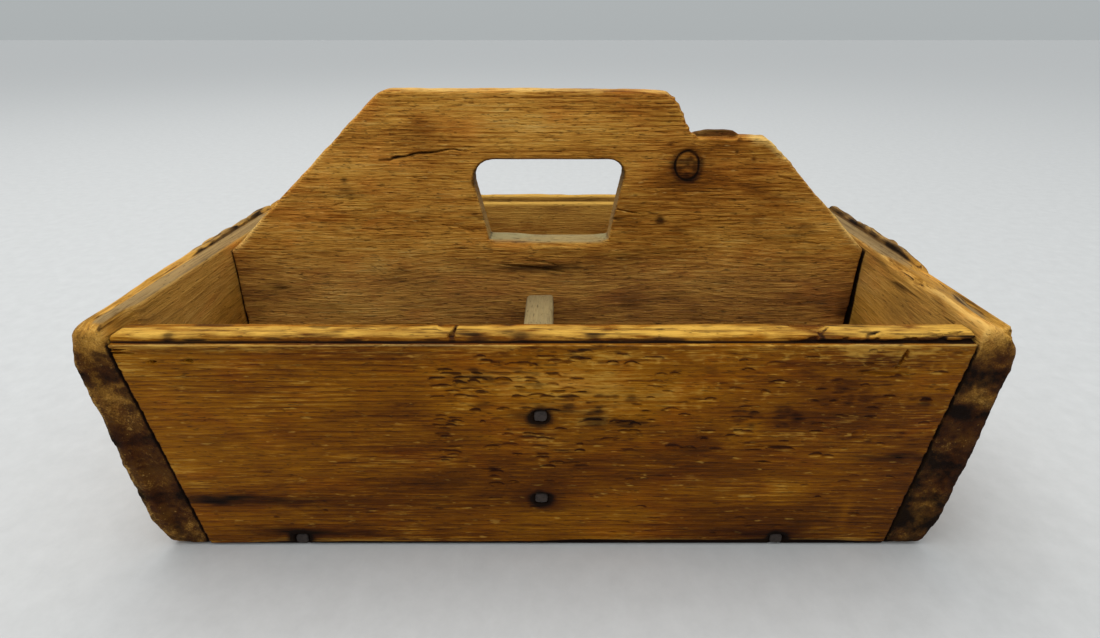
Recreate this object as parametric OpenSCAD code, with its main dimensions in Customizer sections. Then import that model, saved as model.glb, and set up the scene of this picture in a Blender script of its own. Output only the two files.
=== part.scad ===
// Tool storage caddy: an open box of nailed boards whose four walls lean outward, with a handle
// board that runs its full length and a cross partition in front of that board.
// Millimetres. Origin at the centre of the underside, +X along the length, +Y to the rear, +Z up.

/* [Box] */
// Length between the end boards' inner faces, at the height of their top step
inner_len = 483; // [430:1:560]
// Depth over the front and back boards' outer faces, at the height of the front lip
outer_depth = 280; // [240:1:340]
// Height of the end boards' top step above the underside
rim_h = 166; // [150:1:200]
// Lean of the end boards, in degrees from upright
end_lean = 8; // [3:0.5:12]
// Lean of the front and back boards, in degrees from upright
side_lean = 6.5; // [3:0.5:10]

/* [Boards] */
// Thickness of the end boards
end_t = 25; // [22:0.5:30]
// Thickness of the front and back boards
side_t = 19; // [16:0.5:24]
// Thickness of the bottom board
bottom_t = 14; // [11:0.5:20]
// Thickness of the handle board
handle_t = 18; // [14:0.5:24]
// Thickness of the cross partition
partition_t = 19; // [12:0.5:24]

/* [End boards] */
// Width of the step along the inner top edge
step_w = 13; // [8:0.5:14]
// Height of the outer ridge above the step
ridge_h = 5; // [2:0.5:9]
// Bevel along the outer top edge
ridge_bevel = 9; // [3:0.5:10]
// Radius of the front and rear upper corners
nose_r = 11; // [5:0.5:20]
// Radius of the front and rear lower corners
toe_r = 5; // [2:0.5:10]
// Radius of the worn outer bottom edge
heel_r = 12; // [4:0.5:18]

/* [Front and back boards] */
// Drop of the front board's outer lip below the end boards' step
front_drop = 12; // [6:0.5:20]
// Width of the front board's outer lip
front_lip_w = 2.5; // [1:0.5:6]
// Height of the front board's bead above its lip
front_bead_h = 5; // [3:0.5:8]
// Drop of the back board's inner lip below the end boards' step
back_drop = 5; // [3:0.5:12]
// Width of the back board's inner lip
back_lip_w = 6; // [2:0.5:8]
// Height of the back board's bead above its lip
back_bead_h = 6.5; // [3:0.5:8]
// Radius of the beads' edges
bead_r = 4; // [1:0.5:5]
// Radius of the back board's outer top edge
back_edge_r = 8; // [4:0.5:8]

/* [Handle board] */
// Height of the handle's top edge above the end boards' step
handle_rise = 115.5; // [100:0.5:140]
// Drop of the handle's end corners below the end boards' step
corner_drop = 6; // [2:0.5:12]
// Slope of the handle's shoulders, in degrees from level
shoulder_slope = 45; // [42:0.5:50]
// Radius of the left top corner
top_r = 14; // [6:0.5:24]
// Place along the length where the broken right corner starts
break_x = 85; // [76:0.5:90]
// Length of the steep part of the break
break_run = 22; // [16:0.5:28]
// Height of the break's shelf above the end boards' step
break_shelf = 82; // [76:0.5:88]

/* [Hand hole] */
// Height of the hole's lower edge above the end boards' step
hole_sill = 4; // [2:0.5:12]
// Height of the hole
hole_h = 61; // [45:0.5:65]
// Width of the hole along its lower edge
hole_w = 89; // [75:0.5:95]
// Flare of the hole's sides, in degrees from upright
hole_flare = 11; // [4:0.5:14]
// Radius of the hole's top corners
hole_r = 13; // [6:0.5:18]

/* [Cross partition] */
// Place of the partition's middle plane along the length
partition_x = -5.7; // [-60:0.1:60]
// Drop of the partition's top edge below the end boards' step
partition_drop = 43; // [30:0.5:60]

/* [Nails] */
// Length of a nail
nail_len = 50; // [42:1:54]
// Width of a nail's head
nail_head_w = 8; // [6:0.5:9]
// Height of a nail's head
nail_head_h = 7; // [5:0.5:8]
// Thickness of a nail's head
nail_head_t = 1.6; // [1:0.1:2.2]
// Width of the shank under the head
shank_w = 3.6; // [2.6:0.1:4.2]
// Width of the shank at its tip
shank_tip = 1.6; // [0.8:0.1:2.2]
// Thickness of the shank
shank_t = 2.6; // [1.8:0.1:3]
// Depth that a nail's head is set below the board's face
nail_set = 0.6; // [0.3:0.1:1.2]
// Clearance between a nail and the wood on every side of it
nail_fit = 0.05; // [0.02:0.01:0.2]
// Distance of the handle's bottom nails from the middle of the length
handle_nail_x = 150; // [100:1:180]
// Half the distance between the front or back board's two bottom nails
bottom_nail_x = 153; // [100:1:190]
// Shift of those bottom nails along the length
bottom_nail_shift = -5; // [-12:1:12]
// Height of those bottom nails above the underside
bottom_nail_z = 5; // [4.5:0.5:7]
// Distance of the end boards' bottom nails from the middle of the depth
end_bottom_nail_y = 60; // [40:1:85]
// Distance of the end boards' bottom nails below the bottom board's top
end_bottom_nail_cover = 5; // [3:0.5:6]
// Distance of the lowest corner nail above the underside
corner_nail_foot = 34; // [26:1:44]
// Distance of the highest corner nail below the handle's end corners
corner_nail_drop = 30; // [22:1:44]
// Distance of the lower partition nail above the underside
partition_nail_foot = 40; // [28:1:50]
// Distance of the upper partition nail below the partition's top edge
partition_nail_drop = 19; // [10:1:30]
// Shift of the front board's partition nails from the partition's middle plane
partition_nail_shift = 2.5; // [-3:0.5:3]
// Place of the brad across the end board's front edge, from its inner face
brad_inset = 17; // [10:0.5:18]
// Height of the brad above the underside
brad_z = 10.5; // [9:0.5:24]
// Diameter of the brad's head
brad_head_d = 3.6; // [2.6:0.1:4.4]
// Diameter of the brad's shank
brad_shank_d = 1.6; // [1:0.1:2]
// Length of the brad
brad_len = 30; // [20:1:40]

/* [Hidden] */
$fn = 64;
arc_steps = 8;
// What a cutting body reaches past the surface that it cuts
past = 4;
ridge_z = rim_h + ridge_h;
front_lip_z = rim_h - front_drop;
back_lip_z = rim_h - back_drop;
handle_top = rim_h + handle_rise;
corner_z = rim_h - corner_drop;
shelf_z = rim_h + break_shelf;
sill_z = rim_h + hole_sill;
hole_top = sill_z + hole_h;
partition_top = rim_h - partition_drop;
end_bottom_nail_z = bottom_t - end_bottom_nail_cover;
corner_nail_top = corner_z - corner_nail_drop;
corner_nail_z = [corner_nail_foot, (corner_nail_foot + corner_nail_top) / 2, corner_nail_top];
partition_nail_z = [partition_nail_foot, partition_top - partition_nail_drop];
brad_head_t = 1;

// The four leaning walls, as the distance of each face from the middle at height z
function end_in(z) = inner_len / 2 - (rim_h - z) * tan(end_lean);
function end_out(z) = end_in(z) + end_t / cos(end_lean);
function side_out(z) = outer_depth / 2 - (front_lip_z - z) * tan(side_lean);
function side_in(z) = side_out(z) - side_t / cos(side_lean);
// The middle of the front and back boards' thickness at height z
function side_mid(z) = (side_out(z) + side_in(z)) / 2;
// The end boards' outer face where its worn bottom edge curves inward
heel_x = end_out(heel_r) - heel_r / cos(end_lean);
function end_worn(z) = z < heel_r ? heel_x + sqrt(heel_r ^ 2 - (heel_r - z) ^ 2) : end_out(z);
// Distance of the handle board's sloping shoulder from the middle of the length at height z
function shoulder_x(z) = end_in(corner_z) - (z - corner_z) / tan(shoulder_slope);
// Half the hand hole's width at height z
function hole_x(z) = hole_w / 2 + (z - sill_z) * tan(hole_flare);

// Points along an arc, between two directions seen from its centre
function arc(centre, radius, from, to) = [for (i = [0:arc_steps])
    let (turn = from + (to - from) * i / arc_steps) centre + radius * [cos(turn), sin(turn)]];

// A section drawn in Y and Z, drawn out along X
module along_x(length) {
    rotate([90, 0, 90]) linear_extrude(height = length, center = true) children();
}

// A section drawn in X and Z, drawn out along Y
module along_y(length) {
    rotate([90, 0, 0]) linear_extrude(height = length, center = true) children();
}

// The space between the end boards' inner faces, from z_low to z_high
module between_ends(z_low, z_high) {
    along_y(2 * outer_depth)
        polygon([[-end_in(z_low), z_low], [end_in(z_low), z_low],
            [end_in(z_high), z_high], [-end_in(z_high), z_high]]);
}

// Section of a front or back board in Y and Z: a lip on the near face, then a rounded bead.
// foot_y is the near face at the underside, and lean_way is the way in Y that the board leans.
module lipped_section(foot_y, lean_way, lip_z, lip_w, bead_h, far_r) {
    slope = lean_way * tan(side_lean);
    through = side_t / cos(side_lean);
    near_r = min(bead_r, bead_h - 0.5);
    near_z = lip_z + bead_h - near_r;
    far_z = lip_z + bead_h - far_r;
    wall_y = foot_y + lip_z * slope + lip_w;
    far_y = foot_y + far_z * slope + through - far_r / cos(side_lean);
    polygon(concat([[foot_y, 0], [foot_y + lip_z * slope, lip_z], [wall_y, lip_z]],
        arc([wall_y + near_r, near_z], near_r, 180, 90),
        arc([far_y, far_z], far_r, 90, -lean_way * side_lean),
        [[foot_y + through, 0]]));
}

// A cut nail with its head's face on z = 0 and its tip down -Z. With cut, it is the hole for that
// nail: wider by the clearance, and open above the head.
module nail(cut) {
    grow = cut ? nail_fit : 0;
    above = cut ? past : 0;
    translate([-nail_head_w / 2 - grow, -nail_head_h / 2 - grow, -nail_head_t - grow])
        cube([nail_head_w + 2 * grow, nail_head_h + 2 * grow, nail_head_t + grow + above]);
    rotate([90, 0, 0]) linear_extrude(height = shank_t + 2 * grow, center = true)
        polygon([[-shank_w / 2 - grow, -nail_head_t], [shank_w / 2 + grow, -nail_head_t],
            [shank_tip / 2 + grow, -nail_len - grow], [-shank_tip / 2 - grow, -nail_len - grow]]);
}

// A nail driven to the rear through the front board
module nail_from_front(x, z, cut) {
    translate([x, nail_set - side_out(z), z]) rotate([90, 0, 0]) nail(cut);
}

// A nail driven to the front through the back board
module nail_from_back(x, z, cut) {
    translate([x, side_out(z) - nail_set, z]) rotate([-90, 0, 0]) nail(cut);
}

// A nail driven inward through an end board; end is -1 for the left and 1 for the right
module nail_from_end(end, y, z, cut) {
    translate([end * (end_worn(z - nail_head_h / 2) - nail_set), y, z])
        rotate([0, end * 90, 0]) rotate([0, 0, 90]) nail(cut);
}

module front_partition_nail_set(cut = false) {
    for (z = partition_nail_z) nail_from_front(partition_x + partition_nail_shift, z, cut);
}

module front_bottom_nail_set(cut = false) {
    for (way = [-1, 1])
        nail_from_front(bottom_nail_shift + way * bottom_nail_x, bottom_nail_z, cut);
}

module back_bottom_nail_set(cut = false) {
    for (way = [-1, 1])
        nail_from_back(bottom_nail_shift + way * bottom_nail_x, bottom_nail_z, cut);
}

// Nails through the handle board's rear face into the partition's end
module handle_partition_nail_set(cut = false) {
    for (z = partition_nail_z)
        translate([partition_x, handle_t / 2 - nail_set, z]) rotate([-90, 0, 0]) nail(cut);
}

// Nails up through the bottom board into the handle board's lower edge
module handle_bottom_nail_set(cut = false) {
    for (way = [-1, 1])
        translate([way * handle_nail_x, 0, nail_set]) rotate([180, 0, 0]) nail(cut);
}

// Nails through an end board into the front board (side -1) or the back board (side 1)
module end_side_nail_set(end, side, cut = false) {
    for (z = corner_nail_z) nail_from_end(end, side * side_mid(z), z, cut);
}

module end_handle_nail_set(end, cut = false) {
    for (z = corner_nail_z) nail_from_end(end, 0, z, cut);
}

module end_bottom_nail_set(end, cut = false) {
    for (way = [-1, 1]) nail_from_end(end, way * end_bottom_nail_y, end_bottom_nail_z, cut);
}

// The brad in the left end board's front edge, or with cut, the hole for it
module brad(cut = false) {
    grow = cut ? nail_fit : 0;
    above = cut ? past : 0;
    translate([-end_in(brad_z) - brad_inset, nail_set - side_out(brad_z), brad_z])
        rotate([90, 0, 0]) {
            translate([0, 0, -brad_head_t - grow])
                cylinder(h = brad_head_t + grow + above, d = brad_head_d + 2 * grow);
            translate([0, 0, -brad_len - grow])
                cylinder(h = brad_len - brad_head_t + grow, d = brad_shank_d + 2 * grow);
        }
}

module front_board() {
    color("peru") difference() {
        intersection() {
            along_x(2 * inner_len)
                lipped_section(-side_out(0), -1, front_lip_z, front_lip_w, front_bead_h,
                    min(bead_r, front_bead_h - 0.5));
            between_ends(0, ridge_z);
        }
        front_partition_nail_set(true);
        front_bottom_nail_set(true);
        for (end = [-1, 1]) end_side_nail_set(end, -1, true);
    }
}

module back_board() {
    color("peru") difference() {
        intersection() {
            along_x(2 * inner_len)
                lipped_section(side_in(0), 1, back_lip_z, back_lip_w, back_bead_h, back_edge_r);
            between_ends(0, ridge_z + back_bead_h);
        }
        back_bottom_nail_set(true);
        for (end = [-1, 1]) end_side_nail_set(end, 1, true);
    }
}

// Section of the right end board in X and Z: step, ridge, bevel and worn bottom edge
module end_section() {
    step_x = end_in(rim_h) + step_w;
    polygon(concat([[end_in(0), 0], [end_in(rim_h), rim_h], [step_x, rim_h], [step_x, ridge_z],
        [end_out(ridge_z) - ridge_bevel, ridge_z],
        [end_out(ridge_z - ridge_bevel), ridge_z - ridge_bevel]],
        arc([heel_x, heel_r], heel_r, -end_lean, -90)));
}

// Outline of an end board in Y and Z: flush with the front and back boards, corners rounded
module end_outline() {
    nose_z = ridge_z - nose_r;
    half = concat(
        arc([side_out(toe_r) - toe_r / cos(side_lean), toe_r], toe_r, -90, -side_lean),
        arc([side_out(nose_z) - nose_r / cos(side_lean), nose_z], nose_r, -side_lean, 90));
    last = len(half) - 1;
    polygon(concat(half, [for (i = [last:-1:0]) [-half[i].x, half[i].y]]));
}

// One end board without its nails' holes
module end_blank(end) {
    intersection() {
        mirror([end < 0 ? 1 : 0, 0, 0]) along_y(2 * outer_depth) end_section();
        along_x(2 * inner_len) end_outline();
    }
}

// Holes of the nails that pass through one end board
module end_nail_holes(end) {
    for (side = [-1, 1]) end_side_nail_set(end, side, true);
    end_handle_nail_set(end, true);
    end_bottom_nail_set(end, true);
}

module left_end() {
    color("sienna") difference() {
        end_blank(-1);
        end_nail_holes(-1);
        brad(true);
    }
}

module right_end() {
    color("sienna") difference() {
        end_blank(1);
        end_nail_holes(1);
    }
}

module bottom_board() {
    color("burlywood") difference() {
        intersection() {
            between_ends(0, bottom_t);
            along_x(2 * inner_len)
                polygon([[-side_in(0), 0], [side_in(0), 0],
                    [side_in(bottom_t), bottom_t], [-side_in(bottom_t), bottom_t]]);
        }
        front_bottom_nail_set(true);
        back_bottom_nail_set(true);
        handle_bottom_nail_set(true);
        for (end = [-1, 1]) end_bottom_nail_set(end, true);
    }
}

// Outline of the handle board in X and Z before the hand hole and the break are taken out
module handle_outline() {
    round_z = handle_top - top_r;
    round_x = shoulder_x(round_z) - top_r / sin(shoulder_slope);
    polygon(concat([[-end_in(bottom_t), bottom_t], [end_in(bottom_t), bottom_t],
        [end_in(corner_z), corner_z], [shoulder_x(handle_top), handle_top]],
        arc([-round_x, round_z], top_r, 90, 90 + shoulder_slope),
        [[-end_in(corner_z), corner_z]]));
}

// What is broken off the right top corner: a steep face that hollows into a level shelf
module break_outline() {
    fall = handle_top - shelf_z;
    polygon([[break_x, handle_top + past], [break_x, handle_top - fall * 0.06],
        [break_x + break_run * 0.28, handle_top - fall * 0.18],
        [break_x + break_run * 0.5, handle_top - fall * 0.38],
        [break_x + break_run * 0.82, shelf_z + fall * 0.12], [break_x + break_run, shelf_z],
        [end_in(rim_h), shelf_z], [end_in(rim_h), handle_top + past]]);
}

// Outline of the hand hole: sides flare upward into round top corners
module hand_hole_outline() {
    round_z = hole_top - hole_r;
    round_x = hole_x(round_z) - hole_r / cos(hole_flare);
    polygon(concat([[-hole_x(sill_z), sill_z], [hole_x(sill_z), sill_z]],
        arc([round_x, round_z], hole_r, -hole_flare, 90),
        arc([-round_x, round_z], hole_r, 90, 180 + hole_flare)));
}

module handle_board() {
    color("goldenrod") difference() {
        along_y(handle_t) difference() {
            handle_outline();
            break_outline();
            hand_hole_outline();
        }
        handle_partition_nail_set(true);
        handle_bottom_nail_set(true);
        for (end = [-1, 1]) end_handle_nail_set(end, true);
    }
}

module cross_partition() {
    color("tan") difference() {
        translate([partition_x, 0, 0]) along_x(partition_t)
            polygon([[-side_in(bottom_t), bottom_t], [-handle_t / 2, bottom_t],
                [-handle_t / 2, partition_top], [-side_in(partition_top), partition_top]]);
        front_partition_nail_set(true);
        handle_partition_nail_set(true);
    }
}

module front_partition_nails() { color("dimgray") front_partition_nail_set(); }
module front_bottom_nails() { color("dimgray") front_bottom_nail_set(); }
module back_bottom_nails() { color("dimgray") back_bottom_nail_set(); }
module handle_partition_nails() { color("dimgray") handle_partition_nail_set(); }
module handle_bottom_nails() { color("dimgray") handle_bottom_nail_set(); }
module left_end_front_nails() { color("dimgray") end_side_nail_set(-1, -1); }
module left_end_back_nails() { color("dimgray") end_side_nail_set(-1, 1); }
module left_end_handle_nails() { color("dimgray") end_handle_nail_set(-1); }
module left_end_bottom_nails() { color("dimgray") end_bottom_nail_set(-1); }
module right_end_front_nails() { color("dimgray") end_side_nail_set(1, -1); }
module right_end_back_nails() { color("dimgray") end_side_nail_set(1, 1); }
module right_end_handle_nails() { color("dimgray") end_handle_nail_set(1); }
module right_end_bottom_nails() { color("dimgray") end_bottom_nail_set(1); }
module left_end_brad() { color("silver") brad(); }

front_board();
back_board();
left_end();
right_end();
bottom_board();
handle_board();
cross_partition();
front_partition_nails();
front_bottom_nails();
back_bottom_nails();
handle_partition_nails();
handle_bottom_nails();
left_end_front_nails();
left_end_back_nails();
left_end_handle_nails();
left_end_bottom_nails();
right_end_front_nails();
right_end_back_nails();
right_end_handle_nails();
right_end_bottom_nails();
left_end_brad();
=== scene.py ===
"""Looks of the tool storage caddy: seven aged pine boards, their cut nails and one brad.

Each board is a distance field, in millimetres: its faces, rounded by wear, less its chips, cracks and
dents. The field is meshed in fine cells, so every visible shape is geometry. What wear and dirt do to the
colour, and the light and shade painted into it, is worked out at the mesh's points, and the node materials
read it there.
"""
import math
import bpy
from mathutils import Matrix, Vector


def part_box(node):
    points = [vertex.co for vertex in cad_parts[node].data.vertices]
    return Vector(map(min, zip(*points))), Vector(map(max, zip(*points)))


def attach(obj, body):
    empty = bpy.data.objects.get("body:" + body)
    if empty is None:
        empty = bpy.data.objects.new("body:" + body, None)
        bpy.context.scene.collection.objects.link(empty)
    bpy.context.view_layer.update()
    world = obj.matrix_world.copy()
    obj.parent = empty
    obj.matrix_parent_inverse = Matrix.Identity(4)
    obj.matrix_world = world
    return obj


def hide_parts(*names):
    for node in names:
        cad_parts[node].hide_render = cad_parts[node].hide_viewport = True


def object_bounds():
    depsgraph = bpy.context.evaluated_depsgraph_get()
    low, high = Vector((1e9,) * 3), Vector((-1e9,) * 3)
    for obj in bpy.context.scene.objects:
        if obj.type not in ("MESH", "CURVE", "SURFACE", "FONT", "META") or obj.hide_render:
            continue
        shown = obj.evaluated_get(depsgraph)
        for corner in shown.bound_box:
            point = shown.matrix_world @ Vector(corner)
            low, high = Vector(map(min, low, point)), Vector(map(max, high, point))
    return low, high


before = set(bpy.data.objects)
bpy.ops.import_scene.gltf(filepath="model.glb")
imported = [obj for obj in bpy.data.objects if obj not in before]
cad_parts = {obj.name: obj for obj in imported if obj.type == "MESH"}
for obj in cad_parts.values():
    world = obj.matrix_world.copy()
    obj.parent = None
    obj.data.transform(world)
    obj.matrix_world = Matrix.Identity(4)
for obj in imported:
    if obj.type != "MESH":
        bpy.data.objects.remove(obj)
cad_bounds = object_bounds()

from concurrent.futures import ThreadPoolExecutor

import bmesh
import bpy
import numpy as np
from mathutils import Vector

MM = 0.001
X, Y, Z = np.eye(3)

# ---------------------------------------------------------------- the frame's sizes, in millimetres

END_LEAN = math.radians(8)
SIDE_LEAN = math.radians(6.5)
END_T = 25
SIDE_T = 19
# width of the step along the tops of the ends, and depth of the nails' heads
STEP_W = 13
HEAD_T = 1.6
# space round a board in its grid, and how far its wear may stand out of its own box
MARGIN = 4
SLACK = 3.5
# how far a board's face lies inside the CAD's, so that its relief stays in it
INSET = 0.2


def node_box(node):
    """Lowest and highest corners of a CAD node."""
    low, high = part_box(node)
    return np.array(low) / MM, np.array(high) / MM


BOXES = {node: node_box(node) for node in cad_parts}
BOTTOM_X, BOTTOM_Y, BOTTOM_T = BOXES["bottom_board"][1]
RIDGE_Z = BOXES["left_end"][1][2]
STEP_Z = RIDGE_Z - 5
HANDLE_Y, HANDLE_TOP = BOXES["handle_board"][1][1:]
FRONT_TOP = BOXES["front_board"][1][2]
FRONT_LIP_Z = FRONT_TOP - 5
BACK_TOP = BOXES["back_board"][1][2]
BACK_LIP_Z = BACK_TOP - 6.5
PARTITION_LOW, PARTITION_HIGH = BOXES["cross_partition"]
CAD_LOW, CAD_HIGH = (np.array(corner) / MM for corner in cad_bounds)


# how far from the middle the leaning boards' inner and outer faces are at a height


def end_in(z):
    return BOTTOM_X + (z - BOTTOM_T) * math.tan(END_LEAN)


def end_out(z):
    return end_in(z) + END_T / math.cos(END_LEAN)


def side_in(z):
    return BOTTOM_Y + (z - BOTTOM_T) * math.tan(SIDE_LEAN)


def side_out(z):
    return side_in(z) + SIDE_T / math.cos(SIDE_LEAN)


def solids_of(node):
    """Boxes of the separate solids of a CAD node, in millimetres."""
    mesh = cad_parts[node].data
    co = np.array([v.co for v in mesh.vertices]) / MM
    parent = list(range(len(co)))

    def root(n):
        while parent[n] != n:
            parent[n] = parent[parent[n]]
            n = parent[n]
        return n

    seen = {}
    for n, point in enumerate(co):
        key = tuple(np.round(point, 2))
        parent[root(n)] = root(seen.setdefault(key, n))
    for edge in mesh.edges:
        parent[root(edge.vertices[0])] = root(edge.vertices[1])
    roots = np.array([root(n) for n in range(len(co))])
    return [(co[roots == r].min(0), co[roots == r].max(0)) for r in sorted(set(roots))]


# ------------------------------------------------------------------------------- noise and distances

LATTICE = 32
lattice = np.random.default_rng(11).random((LATTICE,) * 3, dtype=np.float32) * 2 - 1


def noise(p, size, seed=0):
    """Smooth noise from -1 to 1 at the points p, with lumps of the given size, or size per axis."""
    q = p / np.asarray(size, float) + 7.31 * seed + np.array([0.37, 0.11, 0.73])
    cell = np.floor(q).astype(np.int64)
    f = (q - cell).astype(np.float32)
    f = f * f * (3 - 2 * f)
    low = cell % LATTICE
    high = (low + 1) % LATTICE
    total = np.zeros(len(p), np.float32)
    for i, wx in ((low[:, 0], 1 - f[:, 0]), (high[:, 0], f[:, 0])):
        for j, wy in ((low[:, 1], 1 - f[:, 1]), (high[:, 1], f[:, 1])):
            for k, wz in ((low[:, 2], 1 - f[:, 2]), (high[:, 2], f[:, 2])):
                total += lattice[i, j, k] * wx * wy * wz
    return total


def fractal(p, size, seed=0, octaves=3):
    """Sum of noises, each half as large and half as strong as the one before."""
    size = np.asarray(size, float)
    return sum(noise(p, size / 2 ** n, seed + 3 * n) / 2 ** n for n in range(octaves))


def ramp(value, low, high):
    """0 below low, 1 above high, and smooth between them."""
    t = np.clip((value - low) / (high - low), 0, 1)
    return t * t * (3 - 2 * t)


def fall(value, low, high):
    """1 below low, 0 above high, and smooth between them."""
    return ramp(-value, -high, -low)


def bell(away, width, power=2):
    """1 where away is 0, fading to nothing beyond the width."""
    return np.exp(-((away / width) ** power))


def polygon(corners, u, v):
    """Signed distance to a closed outline, negative inside it."""
    corners = np.asarray(corners, float)
    nearest, inside = np.inf, False
    for (au, av), (bu, bv) in zip(corners, np.roll(corners, -1, axis=0)):
        du, dv = bu - au, bv - av
        if du == dv == 0:
            continue
        t = np.clip(((u - au) * du + (v - av) * dv) / (du * du + dv * dv), 0, 1)
        nearest = np.minimum(nearest, (u - au - t * du) ** 2 + (v - av - t * dv) ** 2)
        if dv:
            crossed = ((av > v) != (bv > v)) & (u < au + du * (v - av) / dv)
            inside = np.logical_xor(inside, crossed)
    return np.where(inside, -1, 1) * np.sqrt(nearest)


def arc(u, v, radius, start, stop, steps=6):
    """Points on an arc, between two directions in degrees."""
    turns = np.radians(np.linspace(start, stop, steps))
    return [(u + radius * math.cos(t), v + radius * math.sin(t)) for t in turns]


def smooth_max(values, radius):
    """The largest of the values, with the crease between any two rounded off."""
    result = values[0]
    for value in values[1:]:
        crease = np.maximum(radius - np.abs(result - value), 0)
        result = np.maximum(result, value) + crease * crease / (4 * radius)
    return result


def blob(p, centre, radii):
    """Distance to an ellipsoid, negative inside it."""
    radii = np.asarray(radii, float)
    away = np.linalg.norm((p - np.asarray(centre, float)) / radii, axis=1)
    return (away - 1) * radii.min()


def line(u, v, path):
    """Distance from each (u, v) to a path, and how far along the path its nearest point lies, 0 to 1."""
    path = np.asarray(path, float)
    lengths = np.hypot(*np.diff(path, axis=0).T)
    total, start = lengths.sum(), 0
    best = np.full(len(u), np.inf)
    along = np.zeros(len(u))
    for (au, av), (bu, bv), length in zip(path, path[1:], lengths):
        t = np.clip(((u - au) * (bu - au) + (v - av) * (bv - av)) / length ** 2, 0, 1)
        away = np.hypot(u - au - t * (bu - au), v - av - t * (bv - av))
        nearer = away < best
        best[nearer] = away[nearer]
        along[nearer] = (start + t[nearer] * length) / total
        start += length
    return best, along


def slit(u, v, path, width):
    """How far outside a crack's outline each (u, v) is. The crack is widest in its middle."""
    away, along = line(u, v, path)
    return away - width * (0.15 + np.sin(np.pi * np.clip(along, 0, 1)) ** 0.6) / 2


def inside(p, low, high):
    """Which points lie in a box. None leaves an axis free."""
    near = np.ones(len(p), bool)
    for n in range(3):
        if low[n] is not None:
            near &= (p[:, n] > low[n]) & (p[:, n] < high[n])
    return near


def chip(d, p, centre, radii, rough=0.5, seed=23):
    """Breaks a rough ellipsoid out of the field d."""
    centre, radii = np.array(centre, float), np.array(radii, float)
    near = inside(p, centre - radii - 2, centre + radii + 2)
    q = p[near]
    d[near] = np.maximum(d[near], -blob(q, centre, radii) - rough * noise(q, 2.6, seed))


def crack(d, u, v, depth_in, path, width, depth):
    """Opens a crack along a path in u and v. depth_in is how deep each point lies in the wood."""
    path = np.array(path, float)
    (u0, v0), (u1, v1) = path.min(0) - 3, path.max(0) + 3
    near = (u > u0) & (u < u1) & (v > v0) & (v < v1) & (depth_in < depth + 3)
    tool = np.maximum(slit(u[near], v[near], path, width), depth_in[near] - depth)
    d[near] = np.maximum(d[near], -tool)


# -------------------------------------------------------------------------------------------- meshing

CORNERS = np.array([(i, j, k) for i in (0, 1) for j in (0, 1) for k in (0, 1)])


def surface_net(field, low, step):
    """Vertices and quads of the surface where the field is zero."""
    solid = field < 0
    size = np.array(field.shape) - 1

    def shifted(array, by):
        return array[tuple(slice(b, b + n) for b, n in zip(by, size))]

    count = sum(shifted(solid, c).astype(np.int8) for c in CORNERS)
    cells = np.argwhere((count > 0) & (count < 8))
    number = np.full(size, -1, np.int32)
    number[tuple(cells.T)] = np.arange(len(cells))
    values = np.stack([field[tuple((cells + c).T)] for c in CORNERS])
    total = np.zeros((len(cells), 3))
    crossings = np.zeros(len(cells))
    for a in range(8):
        for axis, bit in enumerate((4, 2, 1)):
            if a & bit:
                continue
            va, vb = values[a], values[a | bit]
            hit = (va < 0) != (vb < 0)
            point = np.tile(CORNERS[a].astype(float), (hit.sum(), 1))
            point[:, axis] += va[hit] / (va[hit] - vb[hit])
            total[hit] += point
            crossings[hit] += 1
    vertices = low + (cells + total / crossings[:, None]) * step
    quads = []
    for axis in range(3):
        unit = np.eye(3, dtype=int)
        u, v = unit[(axis + 1) % 3], unit[(axis + 2) % 3]
        before = np.take(solid, range(solid.shape[axis] - 1), axis)
        after = np.take(solid, range(1, solid.shape[axis]), axis)
        edges = np.argwhere(before != after)
        outward = before[tuple(edges.T)]
        quad = np.stack([number[tuple((edges - c).T)] for c in (u + v, v, 0 * u, u)], axis=1)
        quad[~outward] = quad[~outward][:, ::-1]
        quads.append(quad)
    return vertices, np.concatenate(quads)


def new_mesh(name, vertices, quads):
    """A smooth-shaded mesh made of quads, with its vertices in millimetres."""
    mesh = bpy.data.meshes.new(name)
    mesh.vertices.add(len(vertices))
    mesh.vertices.foreach_set("co", (vertices * MM).astype(np.float32).ravel())
    mesh.loops.add(quads.size)
    mesh.loops.foreach_set("vertex_index", quads.astype(np.int32).ravel())
    mesh.polygons.add(len(quads))
    mesh.polygons.foreach_set("loop_start", np.arange(0, quads.size, 4, dtype=np.int32))
    mesh.update(calc_edges=True)
    mesh.validate()
    mesh.shade_smooth()
    return mesh


def into_scene(name, data):
    """A new object in the scene."""
    thing = bpy.data.objects.new(name, data)
    bpy.context.scene.collection.objects.link(thing)
    return thing


def add_piece(mesh, node, material, slot):
    """The piece that stands for a CAD node."""
    mesh.materials.append(material)
    piece = into_scene(mesh.name, mesh)
    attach(piece, "root")
    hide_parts(node)


def give(mesh, **values):
    """Stores values at the mesh's points, where the materials read them."""
    for name, numbers in values.items():
        attribute = mesh.attributes.new(name, "FLOAT", "POINT")
        attribute.data.foreach_set("value", np.clip(numbers, -1000, 1000).astype(np.float32))


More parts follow.
